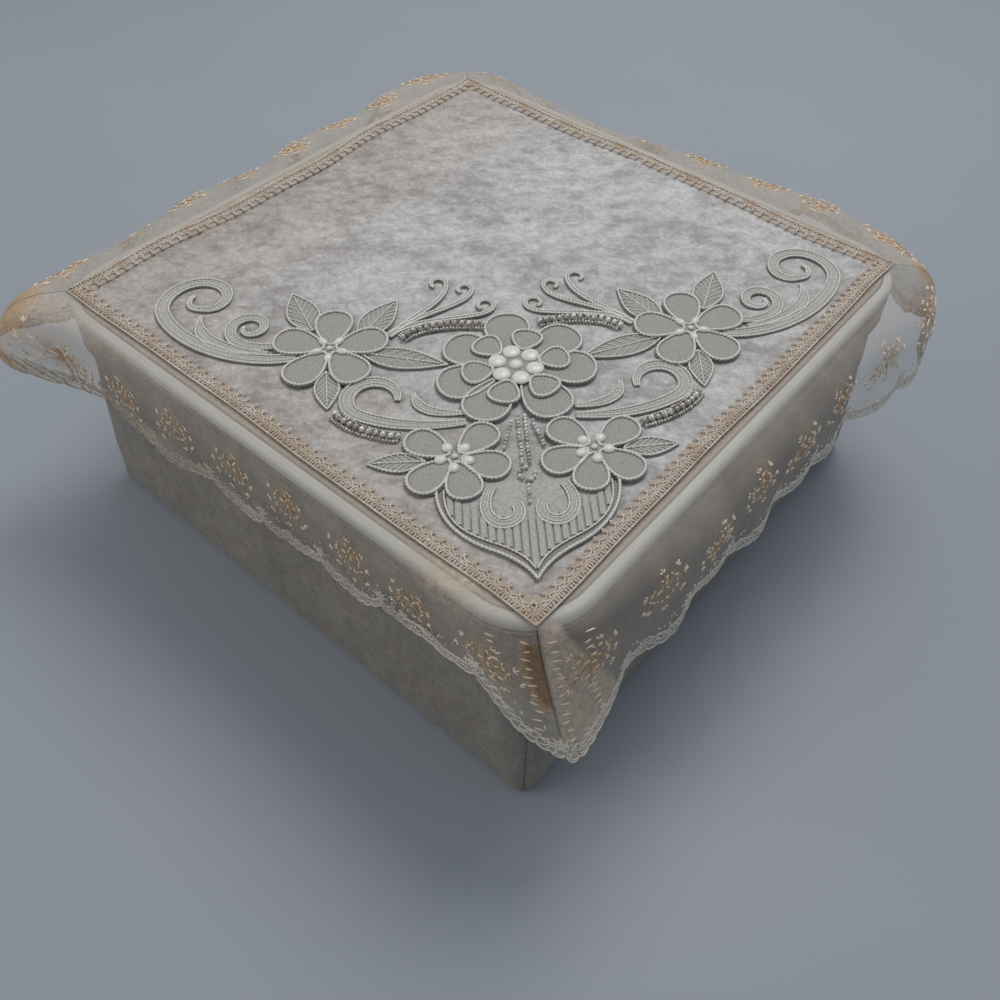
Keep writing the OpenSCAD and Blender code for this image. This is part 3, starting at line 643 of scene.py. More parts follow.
# Each side from its left-hand corner seen from outside. At nine even stations:
# the length over which the lace turns down (falls), its length from the heading
# to the hem, and how far its hem is pushed outwards and along. Then how much its
# fall varies, how far down its sprigs lie and the seed of their places, how pale
# its net is and how doubled in drifts, and which of its ends, -1 or 1, is the
# one with a fold, at the left or right corner of the lid.
LACE = {
    "front": dict(
        falls=[26, 20, 15, 12, 9, 9, 9, 9, 12],
        lengths=[70, 80, 87, 87, 87, 86, 84, 77, 102],
        out=[0, 0, 0, 0, 0, 0, 0, 1, 8],
        slide=[0, 0, 0, 0, 0, 0, 0, 6, 33],
        sway=0.07, sprigs=47, seed=1, veil=0, drift=0.14, fold=-1),
    "right": dict(
        falls=[12, 26, 36, 38, 38, 38, 40, 52, 74],
        lengths=[103, 99, 97, 97, 97, 97, 97, 98, 100],
        out=[33, 8, 0, 0, 0, 0, 0, 0, 0],
        slide=[-8, 0, 0, 0, 0, 0, 0, 0, 0],
        sway=0.07, sprigs=47, seed=2, veil=0, drift=0.05, fold=1),
    "back": dict(
        falls=[74, 96, 98, 84, 54, 28, 20, 40, 78],
        lengths=[100, 98, 97, 97, 97, 97, 97, 98, 99],
        out=[0] * 9, slide=[0] * 9,
        sway=0.14, sprigs=38, seed=3, veil=0.34, drift=0, fold=-1),
    "left": dict(
        falls=[80, 80, 76, 70, 66, 62, 58, 48, 26],
        lengths=[99, 98, 97, 97, 97, 97, 95, 86, 70],
        out=[0] * 9, slide=[0] * 9,
        sway=0.2, sprigs=36, seed=4, veil=0.34, drift=0, fold=1),
}
SCALLOP = 10.5        # how far a big scallop reaches below the places where they meet
SCALLOPS = 8
SMALL_SCALLOP = 1.8
SPRIG_R = 11
SIDE_RUN = HALF - CORNER_R + CORNER_R * pi / 4


def station(values, share):
    """Value at a share from -1 to 1, smoothly between the nine stations."""
    t = (np.clip(share, -1, 1) + 1) / 2 * (len(values) - 1)
    i = np.minimum(len(values) - 2, np.floor(t).astype(int))
    f = t - i
    v = np.asarray(values, float)
    slope = np.gradient(v)
    return ((2 * f ** 3 - 3 * f ** 2 + 1) * v[i] + (f ** 3 - 2 * f ** 2 + f) * slope[i]
            + (3 * f ** 2 - 2 * f ** 3) * v[i + 1] + (f ** 3 - f ** 2) * slope[i + 1])


def to_fold(name, share):
    """Distance along a side to its end at the left or right corner."""
    return (1 - LACE[name]["fold"] * share) * SIDE_RUN


def to_other(name, share):
    """Distance along a side to its end at the front or back corner."""
    return (1 + LACE[name]["fold"] * share) * SIDE_RUN


def ear(name, share):
    """1 at the left corner, where the lace stands out in a narrow fold, and 0 beside it."""
    return (name in ("front", "left")) * bell(to_fold(name, share), 15)


def pattern_share(name, share):
    """Where a place lies in the scallops' pattern. On the front side, the last place
    where two scallops meet has slipped towards the front corner."""
    slip = 0.08 * bell(share - 0.83, 0.1) * rise(share, 1, 0.95)
    return share - slip * (name == "front")


def hem_length(name, share):
    """Length of the lace from its heading to its scalloped hem."""
    pattern = pattern_share(name, share)
    phase = SCALLOPS / 2 * (pattern + 1)
    big = np.abs(np.sin(pi * phase)) ** 0.8
    small = np.abs(np.sin(7 * pi * phase)) ** 0.7
    tip = (name in ("front", "right")) * bell(to_other(name, share), 0.035 * SIDE_RUN)
    return (station(LACE[name]["lengths"], pattern) + SCALLOP * (big - 1)
            + SMALL_SCALLOP * (small - 1) + 6 * tip + 30 * ear(name, share))


class Flounce:
    """One side's lace as a surface: a place for each share along it and run down it."""

    COLS, ROWS, LONG = 481, 125, 124.0

    def __init__(self, name):
        self.name = name
        lace, degrees = LACE[name], TURNS[name]
        share = np.linspace(-1, 1, self.COLS)[:, None]
        runs, step = np.linspace(0, self.LONG, self.ROWS, retstep=True)
        run = runs[None, :-1] + step / 2
        u = share * SIDE_RUN
        calm = rise(np.abs(share), 1, 0.95)
        sway = 1 + lace["sway"] * calm * np.sin(u / 17 + degrees)
        fall = np.maximum(8.5, station(lace["falls"], share) * sway + 78 * ear(name, share))
        rim = LACE_IN - BAND_ROUND
        angle = pi / 2 * smooth(rise(run, rim, rim + fall))
        # Soft folds that swing the hanging part out and in
        phase = degrees * 1.3
        folds = np.sin(u / 13.5 + phase) + 0.6 * np.sin(u / 7.3 + 2 * phase)
        angle = angle + 0.075 * folds * calm * rise(run, 24, 84)
        out, drop = (np.concatenate([np.zeros_like(share), np.cumsum(way(angle) * step, 1)], 1)
                     for way in (np.cos, np.sin))
        beyond = out - LACE_IN
        beyond = np.where(drop > 3, np.maximum(beyond, 0.6), beyond) + 0.35 * rise(drop, 0, 4)
        swing = np.clip(drop / 85, 0, 1.3) ** 1.2
        x, y, a = side_point(share * 0.9985, HALF, CORNER_R)
        self.grid = turned(np.stack([
            x + beyond * np.cos(a) + station(lace["out"], share) * swing,
            y + beyond * np.sin(a) + station(lace["slide"], share) * swing,
            LACE_Z + 0.35 - drop], -1), degrees)
        normal = unit_rows(np.cross(np.gradient(self.grid, axis=1), np.gradient(self.grid, axis=0)))
        outward = turned(np.stack(np.broadcast_arrays(np.cos(a), np.sin(a), 0.6), -1), degrees)
        flip = np.sum(normal * outward, -1, keepdims=True) < 0
        self.normals = np.where(flip, -normal, normal)

    def at(self, share, run, lift=0.0):
        """Places and normals of points given as shares and runs, by bilinear interpolation."""
        share, run = np.broadcast_arrays(np.asarray(share, float), run)
        i = np.clip((share + 1) / 2 * (self.COLS - 1), 0, self.COLS - 1.001)
        j = np.clip(run / self.LONG * (self.ROWS - 1), 0, self.ROWS - 1.001)
        i0, j0 = i.astype(int), j.astype(int)
        fi, fj = (i - i0)[..., None], (j - j0)[..., None]

        def pick(grid):
            return ((1 - fi) * (1 - fj) * grid[i0, j0] + fi * (1 - fj) * grid[i0 + 1, j0]
                    + (1 - fi) * fj * grid[i0, j0 + 1] + fi * fj * grid[i0 + 1, j0 + 1])

        normal = unit_rows(pick(self.normals))
        return pick(self.grid) + normal * lift, normal

    def cord(self, shape, share, run, radius, sides=5, lift=0.1, **how):
        """A cord laid on the lace along points given as shares and runs."""
        points, normal = self.at(share, run, lift)
        tube(shape, points, radius, sides, normal=normal, **how)

    def ring(self, shape, share, run, wide, tall, radius, lift):
        """A small loop of cord about a point of the lace."""
        t = np.linspace(0, 2 * pi, 15)[:-1]
        self.cord(shape, share + wide * np.cos(t) / SIDE_RUN, run + tall * np.sin(t),
                  radius, lift=lift, closed=True)

    def stitches(self, shape, share, run, lift, width, height):
        """Stitches on the lace from each of the points to the next."""
        points, normal = self.at(share, run, lift)
        for start, end, out in zip(points, points[1:], normal):
            stitch(shape, start, end, width, out, height)


def tulle_cover(name, share, run, sprigs):
    """How dense the tulle's thread is at each point, and how pale and doubled it looks."""
    u = share * SIDE_RUN
    dense = np.zeros_like(run)
    for su, sv in sprigs:
        dense = np.maximum(dense, 0.62 * bell(np.hypot(u - su, (run - sv) * 0.9), SPRIG_R))
    dense = dense * (0.75 + 0.35 * hills(u, run, 26, 41))
    dense = np.maximum(dense, 0.2 * rise(run, 9, 0))
    veil = (0.4 * rise(hem_length(name, share) - run, 11.7, 2.7) + 0.3 * rise(run, 8.5, 7.3)
            + LACE[name]["veil"])
    # The heading lies double over the rim, in drifts
    drift = (LACE[name]["drift"] * rise(run, 46, 30)
             * np.clip(0.8 + 0.6 * hills(u, run, 30, 44), 0.1, 1.5))
    if name == "front":
        drift = drift + 0.2 * rise(run, 18, 24) * rise(run, 62, 38)
        veil = veil + 0.35 * bell(to_fold(name, share), 40)
        # It is bunched near the front corner, short of the corner itself
        bunch = bell(u - 140, 22) * rise(run, 30, 22)
        drift = drift + 0.55 * bunch * np.clip(0.85 + 0.5 * hills(u, run, 12, 45), 0.2, 1.4)
    veil = veil + drift
    dense = np.maximum(dense, 0.27 * drift)
    # Dense work along the folds that stand out at the left and right corners
    edge = to_fold(name, share) + 3 * np.sin(run / 5)
    dense = np.maximum(dense, 0.6 * bell(edge, 12) * rise(run, 26, 40))
    # The front corner: cloth doubled behind a brown patch, and the flap folded over it
    edge = to_other(name, share)
    if name == "front":
        brink = 14 - run / 14 + 0.8 * np.sin(run / 6)
        patch = rise(edge, brink, brink - 6) * rise(run, 24, 29) * rise(run, 74, 62)
        dense = np.maximum(dense, patch)
        veil = np.maximum(veil, 0.3 * rise(edge, 60, 30) * rise(run, 20, 28))
    if name == "right":
        brink = 4 + 0.42 * run
        flap = rise(edge, 0.5, 1.3) * rise(edge, brink, brink - 3) * rise(run, 14, 20)
        veil = np.maximum(veil, flap)
        dense = np.maximum(dense, 0.2 * flap)
    return dense, np.clip(veil, 0, 1)


def lace_cloth(flounce, sprigs):
    """The tulle itself, with its density painted round the sprigs."""
    name = flounce.name
    part, share = np.meshgrid(np.linspace(0, 1, 60), np.linspace(-1, 1, 401))
    run = part * hem_length(name, share)
    shape = Shape(flounce.at(share, run)[0])
    obj = shape.piece("tulle_" + name, tulle, "lid", "tulle", ["lace_" + name])
    mesh = obj.data
    for title, values in zip(("dense", "veil"), tulle_cover(name, share, run, sprigs)):
        mesh.attributes.new(title, "FLOAT", "POINT").data.foreach_set(
            "value", values.ravel().astype(np.float32))
    loops = np.zeros(len(mesh.loops), int)
    mesh.loops.foreach_get("vertex_index", loops)
    uv = np.stack([(share * SIDE_RUN).ravel(), run.ravel()], 1)[loops]
    mesh.uv_layers.new(name="cloth").data.foreach_set("uv", uv.ravel().astype(np.float32))
    return obj


def ray(angle):
    return np.array([cos(angle), sin(angle)])


def sprig(cream, gold, flounce, u, v, lean):
    """A spray sewn on the tulle: dashes round its heart, and thin stems that end
    in stitches like a bird's foot."""
    def put(points, width, shape, height=0.5):
        """Stitches along points of the sprig, unless they would hang over the hem."""
        along, run = placed((u, v), lean, *np.transpose(points)).T
        if np.max(run - hem_length(flounce.name, along / SIDE_RUN)) <= -2:
            flounce.stitches(shape, along / SIDE_RUN, run, 0.25, width, height)

    for k in range(6):
        a = k * pi / 3 + vary(-0.25, 0.25)
        put([ray(a) * 1.2, ray(a) * vary(4, 6)], 1.6, cream if k % 2 else gold, 0.6)
    # Angles run from across the lace, through straight down, to across again
    for a, reach in ((1.6, 18), (0.95, 17), (2.25, 17), (0.35, 14), (2.85, 14), (-0.35, 12),
                     (3.6, 12), (-1.3, 10)):
        a += vary(-0.15, 0.15)
        reach *= vary(0.85, 1.1)
        put([ray(a) * 5, ray(a + 0.08) * reach * 0.55, ray(a) * reach], 0.6, gold, 0.3)
        for place, turns in ((1.0, (-0.7, 0, 0.7)), (0.6, (-1.1, 1.1))):
            base = ray(a) * reach * place
            for by in turns:
                put([base + ray(a + by) * 0.7, base + ray(a + by) * vary(2.8, 4.2)],
                    1.15, cream, 0.55)


def hem_work(flounce):
    """The corded hem: a scalloped edge cord, an inner cord and loops between them."""
    shape, name = Shape(), flounce.name
    share = np.linspace(-1, 1, 900)
    edge = hem_length(name, share)
    flounce.cord(shape, share, edge - 0.4, 0.5, 6, twist=1.3)
    phase = SCALLOPS / 2 * (pattern_share(name, share) + 1)
    inner = edge - 5.4 - 3.4 * np.abs(np.sin(pi * phase)) + 1.1 * np.sin(phase * 10 * pi)
    flounce.cord(shape, share, inner, 0.36, twist=1.2)
    # A chain of loops and eyelets above the edge, of uneven size
    for k in range(SCALLOPS):
        for part in np.linspace(0.03, 0.97, 17):
            c = (k + part) / SCALLOPS * 2 - 1
            hump = sin(pi * part)
            size = (1.6 + 1.3 * hump) * vary(0.8, 1.25)
            middle = hem_length(name, c) - 3.4 - vary(0, 6.4) * hump
            flounce.ring(shape, c, middle, size, size * 0.9, 0.33, 0.1)
    # Knots where two scallops meet, with a small spray above each
    for k in range(SCALLOPS + 1):
        every = np.linspace(-1, 1, 801)
        c = np.interp(k / SCALLOPS * 2 - 1, pattern_share(name, every), every)
        top = hem_length(name, np.clip(c, -0.999, 0.999)) - 7
        for j in range(5):
            across, up = np.array([[0, 0], 6 * ray(pi * (0.5 + (j - 2) * 0.22))]).T
            flounce.stitches(shape, c + across / SIDE_RUN, top - up, 0.2, 0.9, 0.45)
        for r in (2.6, 1.3):
            flounce.ring(shape, c, top, r, r, 0.38, 0.15)
    # Short dashes scattered above the hem
    for _ in range(170):
        c = vary(-0.99, 0.99)
        v = hem_length(name, c) - vary(7, 20)
        across, down = np.array([[0, 0], 2 * ray(vary(0, 6.28))]).T
        flounce.stitches(shape, c + across / SIDE_RUN, v + down, 0.15, 0.9, 0.4)
    return shape.piece("hem_" + name, hem_thread, "lid", "tulle")


def sprig_places(name):
    """Where the sprigs lie, along the side and down it: one over each scallop."""
    rng = np.random.default_rng(LACE[name]["seed"])
    return [(((k + 0.5) / SCALLOPS * 2 - 1) * SIDE_RUN + rng.uniform(-3, 3),
             LACE[name]["sprigs"] + rng.uniform(-4, 4)) for k in range(SCALLOPS)]


def flounce_side(name):
    flounce = Flounce(name)
    places = sprig_places(name)
    cloth = lace_cloth(flounce, places)
    hem = hem_work(flounce)
    cream, gold = Shape(), Shape()
    for u, v in places:
        sprig(cream, gold, flounce, u, v, np.degrees(vary(-0.35, 0.35)))
    if name in ("front", "right"):
        # Rows of short dashes across the doubled cloth at the front corner
        way = 1 if name == "front" else -1
        for run in np.arange(26, 94, 5.5):
            for near in (3, 16 + 0.06 * run):
                u = way * (SIDE_RUN - near - vary(0, 2.5))
                share = np.array([u, u - way * vary(3, 5)]) / SIDE_RUN
                runs = run + vary(-0.8, 0.8, 2)
                if run <= hem_length(name, (u - way * 4) / SIDE_RUN) - 6:
                    flounce.stitches(cream, share, runs, 0.2, 1.0, 0.5)
    petals = cream.piece("sprigs_" + name, cream_thread, "lid", "tulle")
    hearts = gold.piece("sprig_hearts_" + name, gold_thread, "lid", "tulle")


for side in TURNS:
    flounce_side(side)


# ---- Braid border ----

BRAID_SWAY = {"front": 0.6, "right": 0.6, "back": 1.6, "left": 2.4}


def braid_line(name, inset):
    """The braid's course on one side, inset from the lid's outer face, mitred at its ends."""
    reach = HALF - inset
    t = np.linspace(-reach, reach, ceil(2 * reach + 0.5))
    sway = BRAID_SWAY[name] * rise(np.abs(t), reach, reach - 30)
    x = reach + sway * (np.sin(t / 37 + TURNS[name]) - 0.6 + 0.4 * np.sin(t / 15))
    return np.stack([x, t, np.full_like(t, BRAID_Z)], -1)


def braid_side(name):
    degrees = TURNS[name]
    lines = [braid_line(name, inset) for inset in (10.6, 13.0, 15.6, 18.2, 20.8)]
    count = min(map(len, lines))
    strip = np.stack([line[np.linspace(0, len(line) - 1, count).astype(int)] for line in lines])
    strip[:, :, 2] += 0.12 * np.sin(strip[:, :, 1] * 2.2)
    strip[:, :, 2] += np.array([-0.4, 0.2, 0.3, -0.2, -1.1])[:, None]
    base, threads = Shape(turned(strip, degrees)), Shape()
    for inset, r in ((11.0, 0.55), (14.6, 0.4)):
        line = resampled(braid_line(name, inset), 0.6) + 0.45 * UP
        tube(threads, turned(line, degrees), r, twist=1.5)
    # Short stitches across the braid between its two cords
    for k, place in enumerate(resampled(braid_line(name, 12.8), 1.9)[1:-1]):
        place = place + [0, vary(-0.3, 0.3), 0.75]
        half = np.array([1.5, -0.5 * (-1) ** k, 0])
        stitch(threads, *turned([place - half, place + half], degrees), 1.0, UP, 0.45)
    # Loops in two rows on the inner side, the outer row small and the inner row wide
    for inset, wide, pitch in ((15.4, 1.0, 3.6), (17.0, 2.4, 7.2)):
        line = resampled(braid_line(name, inset), 0.5)
        run = run_of(line)
        a = 2 * pi * run * round(run[-1] / pitch) / run[-1]
        line += wide * np.stack([np.cos(a) - 1, 0.95 * np.sin(a), 0 * a], 1) + 0.4 * UP
        keep = np.abs(line[:, 1]) < np.abs(line[:, 0]) + 0.3
        tube(threads, turned(line[keep], degrees), 0.42, twist=1.4)
    cloth = base.piece("braid_tape_" + name, braid_base, "lid", "braid", ["braid_" + name])
    work = threads.piece("braid_threads_" + name, braid_thread, "lid", "braid")


for side in TURNS:
    braid_side(side)


# ---- Corded applique ----
# Its own x runs across the lid's diagonal and its own y along it. Each side is
# drawn once, for x > 0, and mirrored. It is sewn on a little askew.

APPLIQUE_SHIFT = 9.0
ASKEW = (0.022, 0.03)
MOTIF_Z, FLOWER_Z, INNER_Z, PEARL_Z = 168.6, 169.6, 170.9, 171.7
CORD_R = 0.75
MIDDLE, SIDE, LOWER = (0, -88), (109.5, -63), (38, -157)
BOTH = (1, -1)


def bend(points, count=26):
    """A cubic Bezier curve."""
    p = np.array(points, float)
    t = np.linspace(0, 1, count)[:, None]
    s = 1 - t
    return s ** 3 * p[0] + 3 * s * s * t * p[1] + 3 * s * t * t * p[2] + t ** 3 * p[3]


def polar(centre, r, degrees):
    a = np.radians(degrees)
    return centre + np.stack([r * np.cos(a), r * np.sin(a)], -1)


def curl(centre, r0, r1, a0, a1):
    """An arc about a centre whose radius and angle change evenly."""
    f = np.linspace(0, 1, max(8, int(abs(a1 - a0) / 9)) + 1)[1:]
    return polar(centre, r0 + (r1 - r0) * f, a0 + (a1 - a0) * f)


def scroll(root, *eye):
    return np.concatenate([bend(root), curl(*eye)])


def beside(path, offset):
    """A path moved to its left. The offset is a number, or one for each point."""
    d = unit_rows(np.gradient(path, axis=0))
    return path + np.stack([-d[:, 1], d[:, 0]], 1) * np.reshape(offset, (-1, 1))


def way_round(outline):
    """1 for an outline that runs anticlockwise, and -1 for a clockwise one."""
    x, y = outline[:, 0], outline[:, 1]
    return 1 if np.sum(x * np.roll(y, -1) - np.roll(x, -1) * y) > 0 else -1


def grown(outline, by):
    """A closed outline moved outwards."""
    d = unit_rows(np.roll(outline, -1, 0) - np.roll(outline, 1, 0))
    return outline + np.stack([d[:, 1], -d[:, 0]], 1) * by * way_round(outline)


def on_lid(path, z, side=1):
    """Points of the drawing, as points above the lid. side is -1 for its left half."""
    across, along = np.transpose(path).astype(float)
    across = side * across
    x = across + ASKEW[0] * along + APPLIQUE_SHIFT
    y = along + ASKEW[1] * across
    c = sqrt(0.5)
    return np.stack([c * (x - y), c * (x + y), np.broadcast_to(z, x.shape)], -1)


class Applique:
    """The applique's parts: for each node one Shape of cords and one of
    fillings, and the net behind them all, which is cut close to the motifs."""

    def __init__(self):
        self.cords, self.fills, self.net = {}, {}, Shape()

    def cord(self, key, path, z, r=CORD_R, closed=False, sides=BOTH):
        shape = self.cords.setdefault(key, Shape())
        for side in sides:
            points = resampled(on_lid(path, z + r, side), 0.55, closed)
            tube(shape, points, r, 8, closed, twist=2.3, depth=0.34)

    def backing(self, outline, z, sides=BOTH):
        """A flat patch of dark net, which shows as a rim round the cords: partly the real net and
        partly painted shadow. Patches that cross lie a hair's breadth apart.
        """
        for side in sides:
            z += 0.004
            points = on_lid(resampled(outline, 3, True), z, side)
            self.net.add(points, np.arange(len(points))[None, ::way_round(points)])

    def fill(self, key, outline, z, dome, sides=BOTH):
        """A low cushion of stitches inside a closed outline."""
        outline = resampled(outline, 1.4, True)
        middle = outline.mean(0)
        for side in sides:
            rows = [on_lid(middle + (outline - middle) * f, z + dome * (1 - f * f), side)
                    for f in np.linspace(1, 0.02, 5)]
            self.fills.setdefault(key, Shape()).cells(np.stack(rows), True, side)

    def motif(self, key, outline, z, sides=BOTH, r=CORD_R):
        """A petal or leaf: net behind it, a filling, and a cord round its edge."""
        self.backing(grown(outline, r + 0.55), z - 0.25 + vary(0, 0.1), sides)
        self.fill(key, outline, z + 0.1, 0.5, sides)
        self.cord(key, outline, z, r, True, sides)

    def band(self, key, path, width, z, dome, side, count=7, power=1):
        """A domed strip of stitches along a path."""
        rows = [on_lid(beside(path, f * width), z + dome * (1 - 4 * f * f) ** power, side)
                for f in np.linspace(-0.5, 0.5, count)]
        self.fills.setdefault(key, Shape()).cells(np.stack(rows[::side]))

    def ribbon(self, key, path, widths, edge_r=0.55):
        """A satin band along a path, with a cord along each edge. The widths are
        those at evenly spaced places along it."""
        path = resampled(path, 1.2)
        width = np.interp(np.linspace(0, 1, len(path)), np.linspace(0, 1, len(widths)), widths)
        around = width / 2 + edge_r + 0.4
        self.backing(np.concatenate([beside(path, around), beside(path, -around)[::-1]]),
                     MOTIF_Z - 0.25 + vary(0, 0.1))
        for side in BOTH:
            self.band(key, path, width, MOTIF_Z + 0.1, 0.5, side)
        # A wide one has two finer lines of stitches between its edges
        for way, lift, r in ((0.5, 0, edge_r), (0.2, 0.4, 0.27))[:1 + (max(widths) > 5)]:
            for f in (-way, way):
                self.cord(key, beside(path, f * width), MOTIF_Z + lift, r)


def petal(base, degrees, root, length, width):
    a = np.radians(np.arange(0, 360, 10))
    x = root + length / 2 * (1 - np.cos(a))
    return placed(base, degrees, x, width / 2 * np.sin(a) * (0.94 - 0.36 * np.cos(a)))


def leaf(base, degrees, length, width):
    f = np.linspace(0, 1, 15)
    y = width / 2 * np.sin(pi * f ** 0.85)
    return placed(base, degrees, length * np.concatenate([f, f[-2:0:-1]]),
                  np.concatenate([y, -y[-2:0:-1]]))


art = Applique()


def flower(key, centre, angles, root, length, width, z, sides):
    for angle in angles:
        art.motif(key, petal(centre, angle + vary(-2, 2), root,
                             length * vary(0.97, 1.02), width), z, sides)
    art.fill(key, polar(centre, root + 1.5, np.arange(0, 360, 20)), z + 0.3, 0.3, sides)


flower("middle_flower", MIDDLE, (93, 40, -6, -62, -124, -165, 148), 10, 38, 27, FLOWER_Z, (1,))
flower("middle_inner_petals", MIDDLE, np.arange(10, 370, 60), 14, 18, 18, INNER_Z, (1,))
flower("side_flowers", SIDE, np.arange(94, 454, 72), 4, 31, 22, FLOWER_Z, BOTH)
flower("lower_flowers", LOWER, (134, 34, -41, -103, -160), 4, 27, 19, FLOWER_Z, BOTH)

for base, degrees, length, width in (
        ((121, -44), 68, 40, 19), ((93, -53), 124, 41, 19), ((91, -67), 196, 53, 17),
        ((110.5, -82), -94, 31, 14), ((54, -158), 2, 31, 13)):
    art.motif("leaves", leaf(base, degrees, length, width), MOTIF_Z, r=0.6)
    spine = placed(base, degrees, np.linspace(1, length * 0.92, 9), np.zeros(9))
    art.cord("leaves", spine, MOTIF_Z + 0.5, 0.4)
    for f in np.linspace(0.16, 0.76, 6):
        reach = width * 0.44 * sin(pi * min(1, f + 0.15) ** 0.85)
        for way in (-1, 1):
            out = np.array([0, 0.5, 1]) * reach
            vein = placed(base, degrees, length * f + 1.2 * out, way * out)
            art.cord("leaves", vein, MOTIF_Z + 0.45, 0.24)

# Scrolls that curl about an eye
VOLUTE, INNER_VOLUTE, LOWER_SCROLL = (189.8, -9.5), (158.5, -38), (83.5, -107)
start = polar(VOLUTE, 25.5, -15)
art.ribbon("volutes", np.concatenate([
    scroll([(129, -67), (165, -74), start - [7.3, 27.2], start], VOLUTE, 25.5, 8, -15, 265),
    curl((191.3, -9), 8.3, 7, 270, 410)]), (6.5, 7.5, 8, 8, 7.5, 7, 5, 1.5))
art.ribbon("volutes", bend([(146, -62.5), (172, -58), (193, -46), (189.5, -24)]),
           (2.5, 5, 7.5, 7, 0.5))
start = polar(INNER_VOLUTE, 12, -10)
art.ribbon("inner_volutes", scroll(
    [(131, -54), (147, -58.5), (169, -57), start], INNER_VOLUTE, 12, 4, -10, 380),
    (3, 4.5, 6, 6, 5.5, 4, 1))
start = polar(LOWER_SCROLL, 14.5, -60)
art.ribbon("lower_scrolls", scroll(
    [(31, -130), (60, -133), start - [12.1, 7], start], LOWER_SCROLL, 14.5, 14.5, -60, 190),
    (3.5, 5.5, 7, 7.5, 8, 7, 2.5))
art.ribbon("lower_scrolls", bend([(31, -122.5), (50, -122.5), (59.5, -117), (60, -104)]),
           (2, 4, 5.5, 5.5, 1))
art.ribbon("foot_curls", scroll(
    [(19, -179), (24, -186), (25.5, -198), (17.8, -203.4)], (13.5, -196), 8.5, 7.5, -60, -215),
    (4, 5, 5.5, 6, 6, 5))

# Three plumes part from one stem
for bends, eye, r0, r1 in (
        ([(60, -33), (39, -24), (39, -4)], (44.5, -4), 5.5, 4),
        ([(60, -31), (23, -29), (23, -11)], (28, -11), 5, 3.5),
        ([(56, -32), (10, -46), (10, -28)], (15.5, -28), 5.5, 4)):
    art.ribbon("plumes", scroll([(75, -53), *bends], eye, r0, r1, 180, -60),
               (3.4, 2.6, 2.2, 1.8, 1.2), 0.6)


def ogee(shoulder, waist, tip):
    """The fan's edge, from its shoulder over its waist to its tip."""
    a, b, c = np.array((shoulder, waist, tip), float)
    return np.concatenate([bend([a, a - [-1, 22], b + [15, 7.5], b]),
                           bend([b, b - [10, 5], c + [3, 7], c])[1:]])


fan_edge = ogee((48.5, -177), (21, -221), (0, -240.5))
fan_line = ogee((44.5, -179), (19.5, -216.5), (0.5, -234))
art.cord("fan", fan_edge, MOTIF_Z, 0.8)
art.cord("fan", fan_line, MOTIF_Z, 0.5)
fan_ground = [(-45, -177), (-40, -187), (-28, -196), (0, -203), (28, -196), (40, -187), (45, -177),
              (30, -156), (0, -150), (-30, -156)]
art.fill("fan", fan_ground, MOTIF_Z - 0.3, 0.1, (1,))
art.backing(np.concatenate([grown(fan_edge, 1.2), (fan_edge * [-1, 1])[::-1] + [-1.0, 0]]),
            MOTIF_Z - 0.4, (1,))
# Upright satin ribs with narrow gaps
RIB_PITCH = 4.15
edge_x, edge_y = fan_line[np.argsort(fan_line[:, 0])].T
for i in range(-10, 11):
    near = abs(i) * RIB_PITCH
    top = -176 if near > 36 else -190 if near > 27 else -198
    rib = resampled([[near, np.interp(near, edge_x, edge_y) + 1.2], [near, top]], 2)
    art.band("fan", rib, RIB_PITCH - 0.8, MOTIF_Z, 0.55, 1 if i > 0 else -1, 9, 0.5)


# ---- Beads and pearls ----

beads = {"bead_bands": Shape(), "stalks": Shape()}


def bead_row(key, path, r=1.25, sides=BOTH):
    for side in sides:
        for p in resampled(on_lid(path, MOTIF_Z + r, side), r * 2.2):
            ball(beads[key], p + vary(-0.2, 0.2, 3), r * vary(0.85, 1.08))


# Bands of beads: a row of large ones with a row of small ones on each side
for points in ([(17.5, -47.9), (36, -43.9), (57, -44.9), (66.5, -56)],
               [(68.5, -139), (83, -136), (97.5, -128), (103.8, -118)]):
    path = bend(points)
    line = resampled(path, 1)
    art.backing(np.concatenate([beside(line, 4.2), beside(line, -4.2)[::-1]]), MOTIF_Z - 0.3)
    for offset, r in ((-3.2, 0.9), (3.2, 0.9), (0, 1.95)):
        bead_row("bead_bands", beside(path, offset), r)

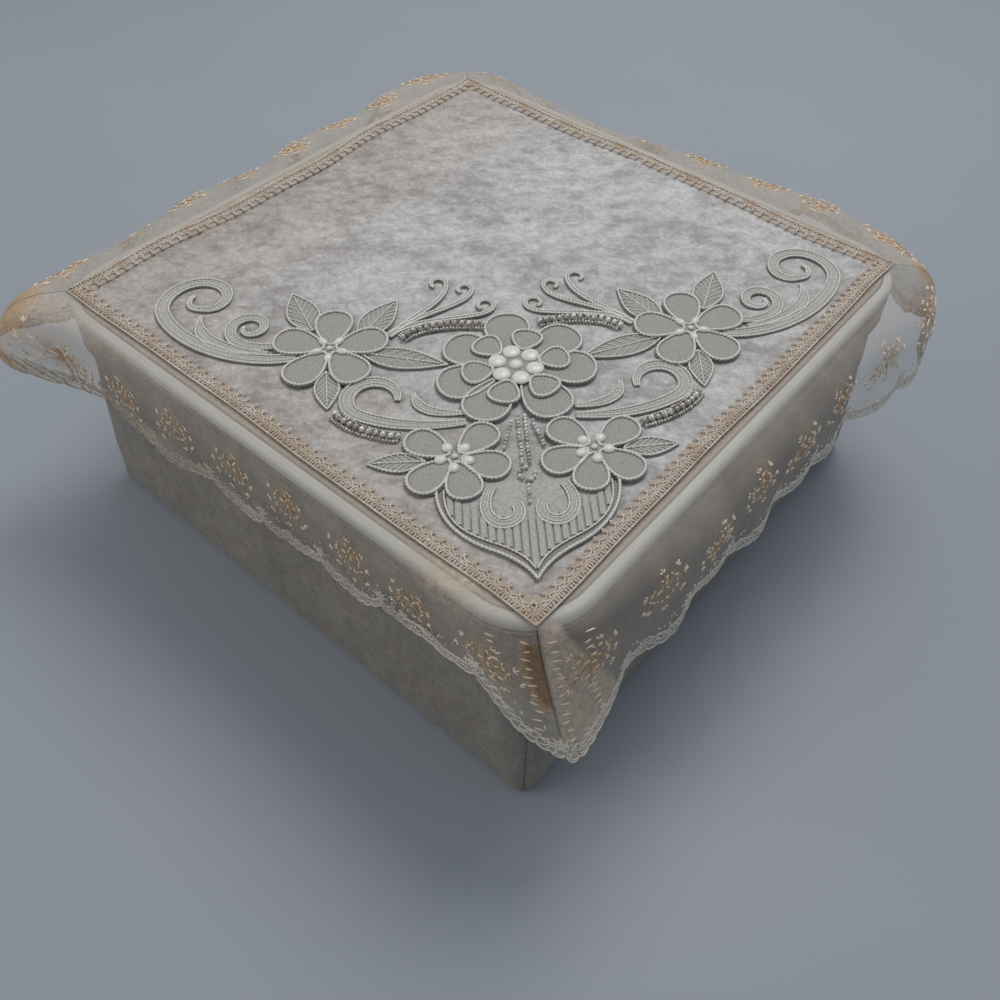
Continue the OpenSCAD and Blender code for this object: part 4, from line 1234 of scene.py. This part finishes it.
for path in [(2, -128.5), (2, -164)], [(6, -133), (11, -152)]:
    bead_row("stalks", path)
for path in polar((0, -172), 4.5, np.arange(90, 400, 40)), [(0, -180.5), (0, -191.5)]:
    bead_row("stalks", path, 1.2, (1,))

pearls = Shape()


def flat_pearl(centre, across, along, degrees, z, h, side=1):
    """A padded, flat-backed pearl, longer along its direction than across."""
    t = np.radians(np.arange(0, 360, 20))
    pearls.cells(np.stack([
        on_lid(placed(centre, degrees, along / 2 * cos(up) * np.cos(t),
                      across / 2 * cos(up) * np.sin(t)), z + h * sin(up), side)
        for up in np.radians([0, 18, 36, 54, 72, 88])]), True, side)


for angle in np.arange(40, 400, 60):
    flat_pearl(polar(MIDDLE, 11.6, angle), 10.6, 10.8, angle, PEARL_Z, 1.8)
flat_pearl(MIDDLE, 8, 8, 0, PEARL_Z, 2.0)
for centre, first, along, across in ((SIDE, 58, 7.4, 4.8), (LOWER, 60, 6.8, 6.2)):
    for side in BOTH:
        flat_pearl(centre, 3.4, 3.4, 0, INNER_Z, 1.2, side)
        for angle in np.arange(first, first + 360, 72):
            flat_pearl(polar(centre, 8, angle), across, along, angle, INNER_Z - 0.6, 1.8, side)

net_piece = art.net.piece("applique_backing", outline_net_and_painted_shadow, "lid", "net", ["applique_net"], False)
for key, shape in art.cords.items():
    shape.piece(key + "_cords", silver_cord, "lid", "silver_cord", [key])
for key, shape in art.fills.items():
    petals = "flower" in key or key in ("middle_inner_petals", "leaves")
    shape.piece(key + "_filling", net_fill if petals else satin_fill, "lid", "embroidery")
for key, shape in beads.items():
    shape.piece(key + "_beads", glass_bead, "lid", "beads", [key])
pearls.piece("pearls_padded", pearl_coat, "lid", "pearl", ["pearls"])


# ---- Materials of the nodes kept from the CAD, and the floor ----

for node, material in (
        ("lid_shell", lid_material()), ("tub", tub_material()), ("base_board", board_material())):
    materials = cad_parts[node].data.materials
    materials.clear()
    materials.append(material)

floor_mesh = bpy.data.meshes.new("floor")
floor_mesh.from_pydata([(-4, -4, 0), (4, -4, 0), (4, 4, 0), (-4, 4, 0)], [], [(0, 1, 2, 3)])
floor_mesh.materials.append(floor_paint)
linked("floor", floor_mesh)
